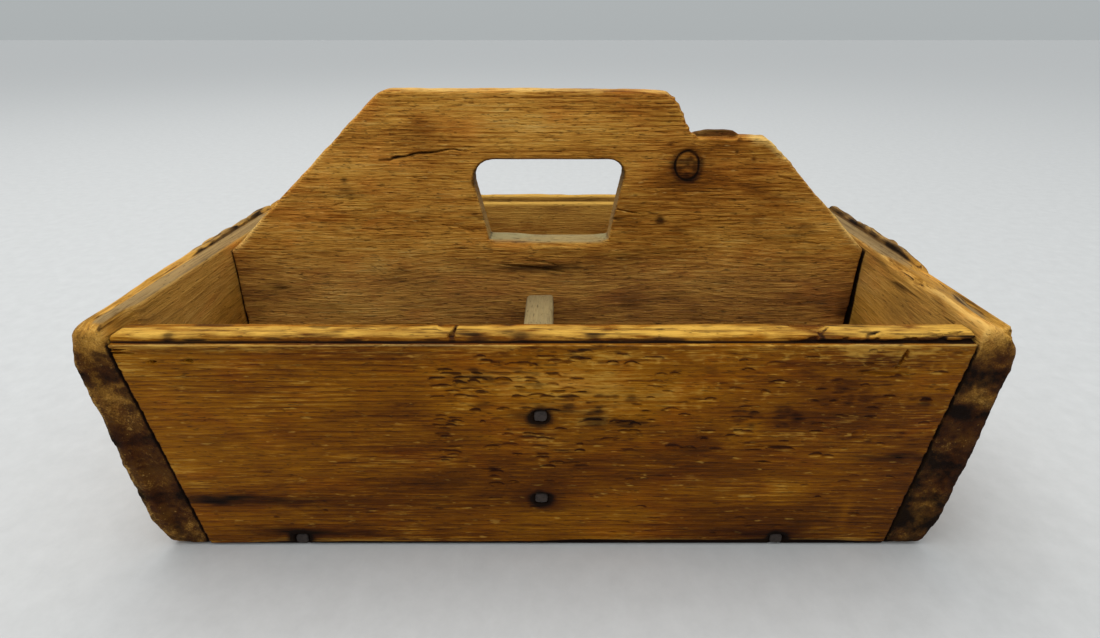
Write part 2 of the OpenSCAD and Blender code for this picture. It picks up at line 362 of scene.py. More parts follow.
class Board:
    """A board meshed from its faces, its worn arrises and its finer wear.

    faces(x, y, z) gives the distances of its faces, radius(p, faces) how far the arrises between them are
    rounded, and detail(p, d, faces) the field with its finer wear.
    """

    def __init__(self, node, step, faces, radius, detail, band=5):
        low, high = BOXES[node]
        self.faces = faces
        step = np.array(step, float)
        low = low - MARGIN
        counts = np.ceil((high + MARGIN - low) / step).astype(int)
        axes = [low[n] + step[n] * np.arange(counts[n]) for n in range(3)]
        grid = [a.reshape([-1 if n == m else 1 for m in range(3)]) for n, a in enumerate(axes)]
        parts = [np.broadcast_to(f, counts) for f in faces(*grid)]
        field = np.max(parts, axis=0).astype(np.float32)
        near = np.abs(field) < band
        points = low + np.argwhere(near) * step
        values = [part[near] for part in parts]
        worn = smooth_max(values, np.maximum(radius(points, values), 0.3))
        field[near] = detail(points, worn, values)
        self.vertices, self.quads = surface_net(field, low, step)
        # wear may stand a little out of the CAD node's own box, but never out of the whole CAD model's
        low, high = BOXES[node]
        low, high = np.maximum(low - SLACK, CAD_LOW), np.minimum(high + SLACK, CAD_HIGH)
        self.vertices = np.clip(self.vertices, low, high)

    def hard(self, p):
        """Distance from the board's faces before any wear."""
        return np.max([np.broadcast_to(f, len(p)) for f in self.faces(*p.T)], axis=0)

    def bend(self, reach):
        """Above 0 on the vertices near a convex edge, below 0 in an inner corner."""
        p = self.vertices
        around = sum(self.hard(p + side * reach * axis) for axis in (X, Y, Z) for side in (-1, 1))
        return around / 6 / reach - self.hard(p) / reach


def grain_relief(p, along, strength=0.1):
    """Raised fibres that run along one axis."""
    size = np.where(along == 1, 30.0, 2.2)
    return strength * (noise(p, size, 5) + 0.6 * noise(p, size / 2, 6))


def side_section(out_sign, lip_z, lip_w, top, near_r, far_r):
    """Section of the front board (out_sign -1) or back board (1) in Y and Z, as the CAD has it."""
    if out_sign < 0:
        foot, slope = -side_out(0), -math.tan(SIDE_LEAN)
    else:
        foot, slope = side_in(0), math.tan(SIDE_LEAN)
    through = SIDE_T / math.cos(SIDE_LEAN)
    wall = foot + lip_z * slope + lip_w
    far_z = top - far_r
    far_y = foot + far_z * slope + through - far_r / math.cos(SIDE_LEAN)
    return [(foot, 0), (foot + lip_z * slope, lip_z), (wall, lip_z),
            *arc(wall + near_r, top - near_r, near_r, 180, 90),
            *arc(far_y, far_z, far_r, 90, -out_sign * math.degrees(SIDE_LEAN)),
            (foot + through, 0)]


def end_gap(x, z, gap):
    """Distance of the end boards' inner faces, less a gap."""
    return (np.abs(x) - end_in(z) + gap) * math.cos(END_LEAN)


def left_lean(x, z):
    """How much farther out the front board's left joint runs: it leans out more than the right one."""
    return np.where(x < 0, 0.021 * z, 0)


def sink_nails(d, p, node, axis, way):
    """Cuts a ragged pocket round each nail of a node. The nails are driven along the axis, way 1 or -1."""
    across = [n for n in range(3) if n != axis]
    for low, high in solids_of(node):
        face = (low if way > 0 else high)[axis]
        depth = way * (p[:, axis] - face)
        near = (depth < HEAD_T + 3) & (depth > -6)
        for n in across:
            near &= (p[:, n] > low[n] - 4) & (p[:, n] < high[n] + 4)
        q = p[near]
        u, v = [np.abs(q[:, n] - (low[n] + high[n]) / 2) - (high[n] - low[n]) / 2 for n in across]
        ragged = 0.75 + 0.45 * noise(q, 4, 61)
        tool = np.maximum(smooth_max([u, v], 2.0) - ragged, depth[near] - HEAD_T)
        d[near] = np.maximum(d[near], -tool)
    return d


# Each board has its faces, how far its edges are rounded, and its finer wear, as the class Board says.

FRONT_SECTION = side_section(-1, FRONT_LIP_Z, 2.5, FRONT_TOP, 4, 4)
BACK_SECTION = side_section(1, BACK_LIP_Z, 6, BACK_TOP, 4, 8)

# Torn dents of the front face, listed one by one: X, Z, length, height, depth
HAND_DENTS = [
    (-36, 146, 6, 3.5, 0.7), (-28, 141, 6, 2.6, 0.9), (-7, 140, 4, 3, 0.8), (6, 142, 5, 2.2, 0.6),
    (38, 142, 7, 2.6, 1.0), (-24, 130, 10, 3.6, 1.2), (5, 133, 9, 2.4, 0.7), (7, 122, 9, 2.8, 1.0),
    (-16, 118, 9, 3.4, 0.8), (-41, 109, 6, 3.4, 0.9), (-25, 110, 7, 2.6, 0.8), (-11, 91, 8, 3.6, 1.2),
    (3, 87, 6, 3, 1.1), (8, 95, 7, 3, 0.8), (20, 83, 5, 3, 0.8), (42, 100, 9, 3.4, 1.1),
    (52, 98, 8, 3.2, 1.1), (46, 93, 8, 3, 1.0), (-2, 73, 8, 3.4, 1.0), (-17, 76, 7, 3, 0.7),
    (1, 66, 10, 3.4, 1.0), (-37, 100, 5, 2.6, 0.7), (57, 145, 6, 2, 0.6), (73, 135, 7, 2.4, 0.9),
    (70, 122, 6, 2.6, 0.8), (111, 143, 5, 2.6, 0.8), (114, 137, 7, 2.4, 1.0), (133, 129, 12, 2.8, 0.9),
    (126, 122, 6, 3, 0.8), (95, 117, 7, 3.2, 1.0), (61, 117, 6, 2.6, 0.8), (79, 114, 8, 2.4, 0.5),
    (59, 108, 6, 2.2, 0.8), (80, 105, 7, 2.2, 0.7), (113, 93, 6, 3.4, 1.1), (110, 89.5, 9, 2.4, 0.9),
    (93, 87, 5, 2.8, 0.9), (159, 93, 9, 3, 0.9), (162, 75, 9, 4, 0.9), (140, 80, 18, 3.6, 0.8),
    (181, 141, 6, 2.4, 0.9), (181, 135, 6, 2.4, 0.9), (166, 115, 4, 2.4, 0.7), (161, 112, 6, 2.2, 0.6),
    (189, 110, 7, 3, 0.7), (197, 119, 6, 2.4, 0.8), (219, 115, 8, 5, 1.0), (221, 99, 7, 3, 0.6),
    (199, 84, 6, 2.4, 0.7), (-139, 30, 4, 2, 0.6), (-171, 24, 4, 4, 0.6), (194, 27, 6, 3.6, 0.9),
]
rng = np.random.default_rng(5)


def scatter(count, x_range, z_range, length, height, depth):
    """Random torn dents in one region of the front face."""
    return [(rng.uniform(*x_range), rng.uniform(*z_range), rng.uniform(*length), rng.uniform(*height),
             rng.uniform(*depth)) for _ in range(count)]


FRONT_DENTS = (
    HAND_DENTS
    + scatter(24, (-38, 22), (108, 149), (7, 14), (2.4, 4.0), (0.4, 1.0))
    + scatter(18, (-34, 24), (50, 106), (6, 13), (2.2, 3.8), (0.4, 1.0))
    + scatter(34, (20, 130), (74, 149), (6, 13), (2.0, 3.6), (0.3, 0.9))
    + scatter(24, (130, 228), (50, 150), (5, 11), (1.8, 3.2), (0.3, 0.8))
    + scatter(22, (-62, -33), (118, 141), (6, 11), (2.0, 3.4), (0.5, 0.9))
    + scatter(9, (-64, -50), (94, 105), (6, 10), (2.0, 3.0), (0.4, 0.8))
    + scatter(12, (-62, -51), (70, 94), (6, 9), (1.6, 2.4), (0.4, 0.7))
    + scatter(16, (-215, -70), (12, 145), (3, 6), (1.3, 2.0), (0.15, 0.4))
    + scatter(20, (-60, 215), (10, 60), (4, 9), (1.6, 2.8), (0.3, 0.7))
)


def pits(x, z, spots):
    """Depth of torn dents, the painted shadow along their upper edges and the painted highlight on their
    lower slopes.
    """
    depth, dark, bright = np.zeros((3, len(x)))
    for cx, cz, length, height, deep in spots:
        near = (np.abs(x - cx) < length / 2) & (np.abs(z - cz) < height / 2 + 1)
        if not near.any():
            continue
        u = (x[near] - cx) / (length / 2)
        lens = np.sqrt(1 - u * u)
        # the dent sags or rises along its length, by an amount that its own place decides
        sag = 0.35 * math.sin(cx * 7 + cz) * (u * u - 0.4)
        up = ((z[near] - cz) / (height / 2) - sag) / np.maximum(lens, 0.08)
        bowl = np.clip((1 + up) / 1.6, 0, 1) * np.clip((1 - up) * 3, 0, 1) * lens
        strength = min(1, 0.3 + deep * 0.75)
        depth[near] = np.maximum(depth[near], deep * bowl)
        # painted shadow along the dent's upper edge
        roof = np.clip((up + 0.1) * 2.2, 0, 1) * np.clip((1.35 - up) * 3, 0, 1) * lens ** 0.4
        dark[near] = np.maximum(dark[near], roof * strength)
        # painted highlight on the dent's lower slope
        floor = np.clip((up + 1.3) * 2, 0, 1) * np.clip((0.05 - up) * 3, 0, 1) * lens
        bright[near] = np.maximum(bright[near], floor * strength)
    return depth, dark, bright


def dents(p):
    """The front face's dents at points p, with ragged outlines: their depth, painted shadow and painted
    highlight.
    """
    x = p[:, 0] + 1.3 * noise(p, (5, 9, 5), 70)
    z = p[:, 2] + 0.8 * noise(p, (5, 9, 2.4), 71)
    return pits(x, z, FRONT_DENTS)


def torn(p):
    """Torn grain: low ripples, over the middle and the right of the front face."""
    share = ramp(p[:, 0], -72, -20) * ramp(p[:, 2], 58, 90) * (0.55 + 0.6 * noise(p, (30, 30, 16), 64))
    ripple = np.abs(noise(p, (9, 12, 2.7), 62)) + 0.5 * np.abs(noise(p, (5, 12, 1.7), 63))
    return np.clip(share, 0, 1.2) * ripple


# Cracks of the front face: path in X and Z, width, depth
FRONT_CRACKS = [
    ([(201.5, 153), (200, 146), (197, 138)], 1.3, 2.5),
    ([(176, 136.5), (190, 134.6), (204, 134.8)], 1.5, 1.8),
    ([(120, 81.5), (138, 82), (153, 80.5)], 1.2, 1.2),
]
# Cracks across the bead's top: path in X and Y, width, depth
BEAD_SPLITS = [
    ([(-50.5, -142), (-52.5, -135), (-51.5, -126)], 2.6, 3.0),
    ([(156, -141), (153, -134), (160, -128)], 1.8, 1.8),
    ([(176, -141), (180, -135), (186, -133)], 1.6, 1.6),
    ([(219, -141), (223, -135), (233, -133)], 1.8, 1.8),
    ([(205, -137.5), (222, -136), (238, -135.5)], 1.3, 1.6),
    ([(-110, -128), (-98, -129), (-84, -128)], 1.3, 1.2),
    ([(40, -130), (52, -129), (66, -130)], 1.6, 1.4),
]
# Chips out of the bead: centre, radii, roughness
BEAD_CHIPS = [
    ((-56, -128, FRONT_TOP + 1), (7, 6, 2.6), 0.4),
    ((150, -126, FRONT_TOP + 1), (13, 6, 3.2), 0.7),
    ((30, -138, FRONT_TOP - 0.6), (7, 2.0, 1.6), 0.4),
]
# Where the nails of the front face sit, in X and Z
PARTITION_NAILS = ((-3.4, 103.6), (-2.8, 39.5))
BOTTOM_NAILS = ((-158, 5.2), (148.2, 4.6))
# Empty nail holes near the left joint, in X and Z
NAIL_HOLES = ((-220, 142.6), (-199.5, 143.4))


def bead_split(p):
    """Where the bead's face has split off, on its right: below a jagged line on its front."""
    x, y, z = p.T
    saw = (x / 17 + 0.35 * noise(p, (9, 40, 40), 31)) % 1
    jag = FRONT_LIP_Z + 1.3 + 1.9 * saw * saw + 0.5 * noise(p, (5, 30, 30), 32)
    on_lip = ramp(z, FRONT_LIP_Z - 0.2, FRONT_LIP_Z)
    return ramp(x, 128, 148) * ramp(jag - z, -0.1, 0.5) * ramp(-y, 133, 136) * on_lip


def front_foot(p):
    """Height of the ragged lower edge of the front face. Below it the board is undercut."""
    x = p[:, 0]
    height = 2.8 + 0.8 * noise(p, (46, 90, 90), 41) + 0.5 * noise(p, (13, 60, 60), 43)
    return height + 1.7 * ramp(x, -30, 30) * fall(x, 150, 222) - 1.2 * ramp(-x, 150, 215)


def front_faces(x, y, z):
    return [polygon(FRONT_SECTION, y, z), end_gap(x, z, 0.35 - left_lean(x, z))]


def thin_radius(p, faces):
    return np.full(len(p), 0.6)


def wear_front_face(d, p, below):
    """Dents, torn grain, hollows round the nails, empty nail holes, cracks and a round bruise."""
    x, _, z = p.T
    face = below < 3
    q = p[face]
    depth, _, _ = dents(q)
    d[face] += depth * 1.25 + 0.5 * torn(q)
    for nail_x, nail_z in PARTITION_NAILS:
        d[face] += 0.35 * np.exp(-((q[:, 0] - nail_x) ** 2 + (q[:, 2] - nail_z) ** 2) / 50)
    for hole_x, hole_z in NAIL_HOLES:
        chip(d, p, (hole_x, -side_out(hole_z), hole_z), (2.4, 5, 1.3), 0.3)
    for path, width, deep in FRONT_CRACKS:
        crack(d, x, z, below, path, width, deep)
    ring = np.abs(np.hypot(q[:, 0] - 185, q[:, 2] - 91) - 3.6)
    d[face] += 0.5 * bell(ring, 0.8)


def wear_bead(d, p, below):
    """The bead: a wavy crest, clefts, broken patches and splintered ends."""
    x, y, z = p.T
    top = z > FRONT_LIP_Z - 1
    q = p[top]
    crest = ramp(q[:, 2], FRONT_LIP_Z - 1, FRONT_LIP_Z + 2)
    waves = 0.15 + 0.35 * fractal(q, (46, 30, 30), 21) + 0.2 * fractal(q, (16, 3, 3), 22)
    d[top] += crest * np.maximum(waves, 0)
    for path, width, deep in BEAD_SPLITS:
        crack(d, x, y, FRONT_TOP - z, path, width, deep)
    for centre, radii, rough in BEAD_CHIPS:
        chip(d, p, centre, radii, rough)
    d[top] += 1.4 * bead_split(p[top])
    # its left end is rounded off, with two slots under it
    left = top & (x < -233)
    curve = np.hypot((-x[left] - 233) / 11.5, (z[left] - FRONT_LIP_Z + 1) / 7.2)
    d[left] = np.maximum(d[left], (curve - 1) * 6)
    for slot_z, stop in ((148.4, -229), (150.6, -232)):
        crack(d, x, z, below, [(-252, slot_z + 0.4), (stop, slot_z)], 1.2, 3)


def undercut_foot(d, p, below):
    """The ragged, undercut lower edge."""
    foot = inside(p, (None, None, -9), (None, None, 9))
    q = p[foot]
    undercut = np.minimum((front_foot(q) - q[:, 2]) * 0.9, 1.3 - below[foot])
    d[foot] = smooth_max([d[foot], undercut, 0.5 - q[:, 2]], 0.5)


def front_detail(p, d, faces):
    below = (p[:, 1] + side_out(p[:, 2])) * math.cos(SIDE_LEAN)
    d = d + INSET + 0.14 * noise(p, (70, 30, 14), 1) + grain_relief(p, X)
    wear_front_face(d, p, below)
    wear_bead(d, p, below)
    undercut_foot(d, p, below)
    d = sink_nails(d, p, "front_partition_nails", 1, 1)
    return sink_nails(d, p, "front_bottom_nails", 1, 1)


def back_faces(x, y, z):
    return [polygon(BACK_SECTION, y, z), end_gap(x, z, 0.35)]


def back_detail(p, d, faces):
    z = p[:, 2]
    d = d + INSET + 0.14 * fractal(p, (70, 30, 12), 2) + grain_relief(p, X)
    top = z > BACK_LIP_Z - 1
    q = p[top]
    crest = ramp(q[:, 2], BACK_LIP_Z - 1, BACK_LIP_Z + 2)
    d[top] += crest * (0.3 + 0.4 * fractal(q, (50, 30, 30), 33) + 0.3 * noise(q, (9, 6, 6), 34))
    foot = inside(p, (None, None, -9), (None, None, 7))
    q = p[foot]
    lift = 0.8 + 0.8 * fractal(q, (46, 60, 90), 42)
    d[foot] = smooth_max([d[foot], np.maximum(lift, 0.2) - q[:, 2]], 1.2)
    return sink_nails(d, p, "back_bottom_nails", 1, -1)


# what each end is nailed to
JOINTS = ("front", "back", "handle", "bottom")


def end_section():
    """Section of an end board in X and Z: stepped top, crest worn round on the outside, round heel."""
    wide, high = 10, 16
    heel_r = 10
    heel_x = end_out(heel_r) - heel_r / math.cos(END_LEAN)
    crest_x = end_out(RIDGE_Z - high) - wide
    crest = [(crest_x + wide * math.cos(t), RIDGE_Z - high + high * math.sin(t))
             for t in np.radians(np.linspace(90, 0, 8))]
    return [(end_in(0), 0), (end_in(STEP_Z), STEP_Z), (end_in(STEP_Z) + STEP_W, STEP_Z),
            (end_in(STEP_Z) + STEP_W, RIDGE_Z), *crest,
            *arc(heel_x, heel_r, heel_r, -math.degrees(END_LEAN), -90)]


def end_outline():
    """Outline of an end board in Y and Z: round nose above, small round toe below."""
    nose_r, toe_r = 11, 5
    nose_z = RIDGE_Z - nose_r
    lean = math.degrees(SIDE_LEAN)
    half = (arc(side_out(toe_r) - toe_r / math.cos(SIDE_LEAN), toe_r, toe_r, -90, -lean)
            + arc(side_out(nose_z) - nose_r / math.cos(SIDE_LEAN), nose_z, nose_r, -lean, 90))
    return half + [(-y, z) for y, z in reversed(half)]


END_SECTION = end_section()
END_OUTLINE = end_outline()


def dish(y, z):
    """How far an end's inner face is hollowed where the handle board meets it."""
    return 4.5 * fall(np.abs(y), 15, 110) * ramp(z, 18, 75) * fall(z, 90, 162)


def end_faces(x, y, z):
    return [polygon(END_SECTION, np.abs(x), z), polygon(END_OUTLINE, y, z)]


def end_radius(p, faces):
    x, _, z = p.T
    depth = np.abs(x) - end_in(z)
    outer = ramp(depth, 7, 16)
    nose = ramp(z, 138, 160)
    worn = 1.8 * (1 + 0.5 * noise(p, (20, 20, 16), 51))
    return 0.5 + outer * (worn + 9 * nose) + (1 - outer) * 5 * ramp(z, 158, 163)


def end_bulge(side, z, depth):
    """How far the outer face of the left (-1) or right (1) end bulges out. The left one's is higher up."""
    if side < 0:
        size, top = 1.3 + 1.2 * fall(z, 66, 108), fall(z, 138, 163)
    else:
        size, top = 1.4, fall(z, 60, 150)
    return size * ramp(z, 2, 26) * top * ramp(depth, 14, 20)


def erode_crest(side, d, p, depth):
    """Lumps of the crest outside the step, most at the rear. It is worn down towards the front."""
    crest = (p[:, 2] > STEP_Z - 12) & (depth > 9)
    q = p[crest]
    y, z = q[:, 1], q[:, 2]
    share = ramp(z, STEP_Z - 8, STEP_Z + 2) * ramp(depth[crest], 10, 13)
    lumps = fractal(q, (9, 34, 9), 50 + side) + 0.5 * noise(q, (4, 8, 4), 53 + side)
    rear = ramp(y, -46, -8)
    hump = ramp(y + 9 * noise(q, (9, 14, 9), 66), -50, 6) * fall(y, 76, 104)
    if side < 0:
        hump = hump - 0.6 * ramp(y, 84, 112)
        loss = 2.6 * ramp(-y, 72, 112)
    else:
        hump = 3.0 * hump - 4 * ramp(y, 80, 104)
        loss = 2.0 * ramp(-y, 40, 60)
    lumps = lumps + rear * noise(q, (8, 11, 5), 65)
    eroded = np.maximum(0.4 + (0.45 + 0.85 * rear) * lumps, -0.2 - 0.3 * rear)
    d[crest] += share * (eroded - hump + loss)


def chamfer_arris(side, d, p, depth):
    """A chamfer worn along the inner arris, torn on the front half of the right end."""
    arris = (p[:, 2] > STEP_Z - 16) & (depth < 16)
    q = p[arris]
    y = q[:, 1]
    size = 0.9 + 1.8 * ramp(-y, 95, 125) + 0.4 * noise(q, (9, 20, 9), 55)
    if side > 0:
        size = size + ramp(-y, 22, 44) * (1.6 + 2.4 * ramp(y, -100, -76) + 1.6 * fractal(q, (6, 12, 4), 61))
    bevel = (size - (STEP_Z - q[:, 2]) - depth[arris]) / math.sqrt(2)
    d[arris] = smooth_max([d[arris], bevel], 1.2)


def crest_line(q):
    """Height of the crest along the right end. Its front half is broken down and slopes outward."""
    y = q[:, 1]
    broken = ramp(-y, 40, 56)
    depth = np.abs(q[:, 0]) - end_in(q[:, 2])
    slope = 0.3 * np.maximum(depth - 5, 0) + 0.65 * np.maximum(depth - 15, 0)
    slope = slope + 3.6 * ramp(-y, 94, 122) * ramp(depth, 4, 16)
    whole = RIDGE_Z + 4 + noise(q, (5, 9, 5), 68)
    return whole + broken * (STEP_Z - 0.6 - slope + 0.9 * noise(q, (6, 16, 6), 67) - whole)


def break_crest(d, p, depth):
    """The right end's broken crest, with layers split off along it."""
    high = (p[:, 2] > STEP_Z - 28) & (depth > 2)
    q = p[high]
    d[high] = smooth_max([d[high], (q[:, 2] - crest_line(q)) * 0.85], 1.5)
    for slot_z, slot_y in ((166.8, -88), (168.2, -60), (165.2, -112)):
        near = inside(p, (None, slot_y - 16, slot_z - 2), (None, slot_y + 16, slot_z + 2)) & (depth > 14)
        q = p[near]
        split = np.abs(q[:, 2] - slot_z - 0.05 * (q[:, 1] - slot_y)) - 0.5 * (1 + noise(q, 9, 69))
        d[near] = np.maximum(d[near], -split)


def roughen_edges(side, d, p, faces):
    """Rough end grain on the front and rear edges, and nicks on the outer arris."""
    edge = faces[1] > -2.5
    q = p[edge]
    rough = 0.10 * noise(q, (1.8, 3, 1.8), 58) + 0.22 * noise(q, (7, 5, 5), 59)
    d[edge] += ramp(faces[1][edge], -2.5, -0.4) * rough
    nicked = edge & (faces[0] > -4)
    q = p[nicked]
    bite = np.maximum(noise(q, (9, 30, 8), 56 + side) - 0.3, 0) + 0.25 * noise(q, (4, 9, 4), 57)
    d[nicked] += ramp(faces[0][nicked], -4, -0.5) * np.maximum(bite, 0)


def end_detail(side):
    """Wear of the left (-1) or right (1) end board."""
    name = "left_end" if side < 0 else "right_end"

    def detail(p, d, faces):
        x, y, z = p.T
        depth = np.abs(x) - end_in(z)
        smooth = 1 - 0.75 * fall(depth, 1, 3)
        rough = 0.15 * fractal(p, (30, 80, 14), 3 + side)
        d = d + INSET - end_bulge(side, z, depth) + rough + grain_relief(p, Y) * smooth
        d = np.maximum(d, dish(y, z) - depth)
        lean = left_lean(x, z) * ramp(-y, side_in(z) - 14, side_in(z) - 2)
        d = np.maximum(d, (lean - depth) * math.cos(END_LEAN))
        erode_crest(side, d, p, depth)
        chamfer_arris(side, d, p, depth)
        if side > 0:
            break_crest(d, p, depth)
        roughen_edges(side, d, p, faces)
        for joint in JOINTS:
            d = sink_nails(d, p, f"{name}_{joint}_nails", 0, -side)
        return d

    return detail


def handle_outline():
    """Outline of the handle board in X and Z, with its broken right corner."""
    corner_z = STEP_Z - 6
    low, corner = end_in(BOTTOM_T), end_in(corner_z)
    top_x = corner - (HANDLE_TOP - corner_z)
    round_r = 14
    round_x = top_x + round_r - round_r * math.sqrt(2)
    shelf = STEP_Z + 82
    right_slope = [(216.5, 186.5), (197.5, 206.5), (178, 228.5), (165, 242.5), (159.5, 247)]
    broken_shelf = [(155, shelf - 0.4), (141, shelf), (137.5, shelf + 2.6), (130, shelf + 3.6),
                    (116, shelf + 3.4), (109, shelf + 2.2), (105.6, shelf + 1)]
    broken_rise = [(103.1, 251.6), (99.2, 261), (94.7, 270.5), (90.8, 275.5), (84.5, 279.8)]
    # the left foot lies beyond the end board, whose inner face cuts the board off
    return [(-low - 10, BOTTOM_T), (low, BOTTOM_T), (corner, corner_z), *right_slope, *broken_shelf,
            *broken_rise, (65, HANDLE_TOP - 0.8), (-12, HANDLE_TOP),
            *arc(-round_x, HANDLE_TOP - round_r, round_r, 90, 135), (-corner, corner_z)]


def hole_outline():
    """Outline of the hand hole in X and Z, flaring upward."""
    sill, top, half, flare = STEP_Z + 4, STEP_Z + 65, 44.5, math.tan(math.radians(13))
    left_r, right_r = 15, 11
    rise = top - sill
    return [(-half + 0.5, sill), (half + 0.5, sill),
            *arc(half + flare * (rise - right_r) - right_r / 0.97, top - right_r, right_r, -13, 90),
            *arc(-half - flare * (rise - left_r) + left_r / 0.97, top - left_r, left_r, 90, 193)]


HANDLE_OUTLINE = handle_outline()
HOLE_OUTLINE = hole_outline()
KNOT_X, KNOT_Z = 101.7, 227.0
# The long crack left of the hand hole, in X and Z: wide where it starts, a hair line after
WIDE_CRACK = [(-123, 230.6), (-115, 231), (-108, 233.6)]
FINE_CRACK = [(-113, 232.6), (-104, 233.4), (-95, 236), (-84, 236.4), (-70, 239), (-57, 237)]
# Checks of the handle board's front: path in X and Z, width
HANDLE_CHECKS = [
    ([(-80, 181), (-68, 180), (-55, 175.5)], 1.2), ([(47, 194.5), (58, 192), (69, 190)], 1.0),
    ([(-52, 186), (-46, 184)], 1.2), ([(45, 186), (52, 186)], 1.2), ([(-160, 196), (-150, 199)], 0.8),
    ([(168, 219), (180, 216)], 1.2), ([(-36, 149.5), (-12, 147), (14, 143)], 1.7),
    ([(-20, 153), (0, 151), (10, 148)], 1.0), ([(130, 200), (150, 201)], 0.9),
    ([(-140, 178), (-122, 177)], 0.9), ([(186, 168), (206, 166)], 0.9),
]
HANDLE_PITS = ((84, 185.2), (-149.5, 215.4), (137.3, 236.8), (150, 232), (-36, 205), (60, 250))


def handle_end(x, z):
    """Distance to the handle board's ends, which are shrunk away from the end boards, more on the right."""
    return end_gap(x, z, np.where(x > 0, 1.7 + (STEP_Z - z) * 0.028, 0.35) - dish(0, z))


def handle_faces(x, y, z):
    return [np.abs(y) - HANDLE_Y, polygon(HANDLE_OUTLINE, x, z), -polygon(HOLE_OUTLINE, x, z),
            handle_end(x, z)]


def handle_radius(p, faces):
    edge = 3.4 * (1 + 0.35 * noise(p, (40, 20, 40), 52))
    return np.where(faces[2] > -7, 1.5, np.where(faces[3] > -7, 0.8, edge))


def knot_radius(x, z):
    """1 on the edge of the handle's big knot, less inside it."""
    place = np.stack([x, 0 * x, z], axis=1)
    return np.hypot((x - KNOT_X) / 8.8, (z - KNOT_Z) / 10.8) + 0.06 * noise(place, (7, 9, 7), 77)


def wear_handle_face(d, p, below):
    """Cracks and pits of the front, and the knot, which stands in a ring of shrunk wood."""
    x, _, z = p.T
    crack(d, x, z, below, WIDE_CRACK, 1.6, 1.4)
    crack(d, x, z, below, FINE_CRACK, 1.1, 4)
    for path, width in HANDLE_CHECKS:
        crack(d, x, z, below, path, width, 1.8)
    face = below < 3
    q = p[face]
    k = knot_radius(q[:, 0], q[:, 2])
    d[face] += 0.9 * bell(k - 0.98, 0.07) + 0.3 * fall(k, 0.9, 1)
    for pit_x, pit_z in HANDLE_PITS:
        d[face] += 0.6 * np.exp(-((q[:, 0] - pit_x) ** 2 + (q[:, 2] - pit_z) ** 2) / 3)


def break_shelf(d, p):
    """The shelf of the break: its front is chipped lower, its rear stands up in a dark lip."""
    shelf = inside(p, (106.5, -20, STEP_Z + 70), (150, 20, STEP_Z + 90))
    q = p[shelf]
    x, y, z = q.T
    fallen = ramp(x, 104, 110) * fall(x, 136, 144) * ramp(-y + noise(q, (8, 8, 8), 76), -1, 1)
    ledge = z - (STEP_Z + 86) + 6 * fallen + 0.5 * noise(q, (7, 5, 5), 75) * ramp(fallen, 0, 0.2)
    d[shelf] = smooth_max([d[shelf], ledge], 1.0)


def wear_sill(d, p):
    """The sill of the hand hole, worn down in the middle and on the right, and towards the front."""
    sill = inside(p, (-50, None, STEP_Z - 5), (52, None, STEP_Z + 12))
    x, y, z = p[sill].T
    worn = 1.4 * fall(np.abs(x - 12), 16, 44)
    worn += 2.2 * ramp(-y, 0, HANDLE_Y) * fall(np.abs(x), 38, 47)
    d[sill] += worn * ramp(z, STEP_Z - 4, STEP_Z + 3)


def wear_rim(d, p, outline):
    """The rough right shoulder, the ragged break and nibbled edges."""
    rim = np.maximum(outline, -99) > -6
    q = p[rim]
    x = q[:, 0]
    near = outline[rim]
    corner = ramp(x, 150, 158) * fall(x, 168, 186)
    broken = ramp(x, 78, 90) * fall(x, 102, 110)
    d[rim] += corner * ramp(near, -6, -0.5) * (0.2 + 0.9 * fractal(q, (6, 8, 5), 71))
    d[rim] += broken * ramp(near, -4, 0) * (0.2 + 0.8 * fractal(q, (5, 8, 3), 72))
    d[rim] += ramp(near, -3, 0) * np.maximum(0.1 + 0.45 * fractal(q, (14, 14, 10), 73), -0.1)


def handle_detail(p, d, faces):
    below = p[:, 1] + HANDLE_Y
    d = d + 0.1 + 0.12 * fractal(p, (60, 20, 14), 4) + grain_relief(p, X)
    wear_handle_face(d, p, below)
    break_shelf(d, p)
    wear_sill(d, p)
    wear_rim(d, p, faces[1])
    return sink_nails(d, p, "handle_partition_nails", 1, -1)


def bottom_faces(x, y, z):
    return [np.abs(z - BOTTOM_T / 2) - BOTTOM_T / 2, end_gap(x, z, 0.3),
            (np.abs(y) - side_in(z) + 0.3) * math.cos(SIDE_LEAN)]


def bottom_detail(p, d, faces):
    d = d + INSET + 0.15 * fractal(p, (80, 30, 20), 8) + grain_relief(p, X)
    return sink_nails(d, p, "handle_bottom_nails", 2, 1)


def partition_faces(x, y, z):
    middle = (PARTITION_LOW[0] + PARTITION_HIGH[0]) / 2
    half = (PARTITION_HIGH[0] - PARTITION_LOW[0]) / 2
    rise = 3.3 * ramp(y, -90, -30)
    return [np.abs(x - middle + 0.7) - half - 1.3, z - PARTITION_HIGH[2] - rise, BOTTOM_T - z + 0.1,
            (-y - side_in(z) + 0.3) * math.cos(SIDE_LEAN), y + HANDLE_Y + 0.3]


def partition_radius(p, faces):
    return np.full(len(p), 3.0)


def partition_detail(p, d, faces):
    top = ramp(p[:, 2], PARTITION_HIGH[2] - 4, PARTITION_HIGH[2])
    d = d + INSET + 0.15 * fractal(p, (20, 40, 20), 9) + grain_relief(p, Y)
    return d + top * (0.3 + 0.5 * fractal(p, (12, 20, 12), 74))


# ------------------------------------------------------------------------------------------ materials


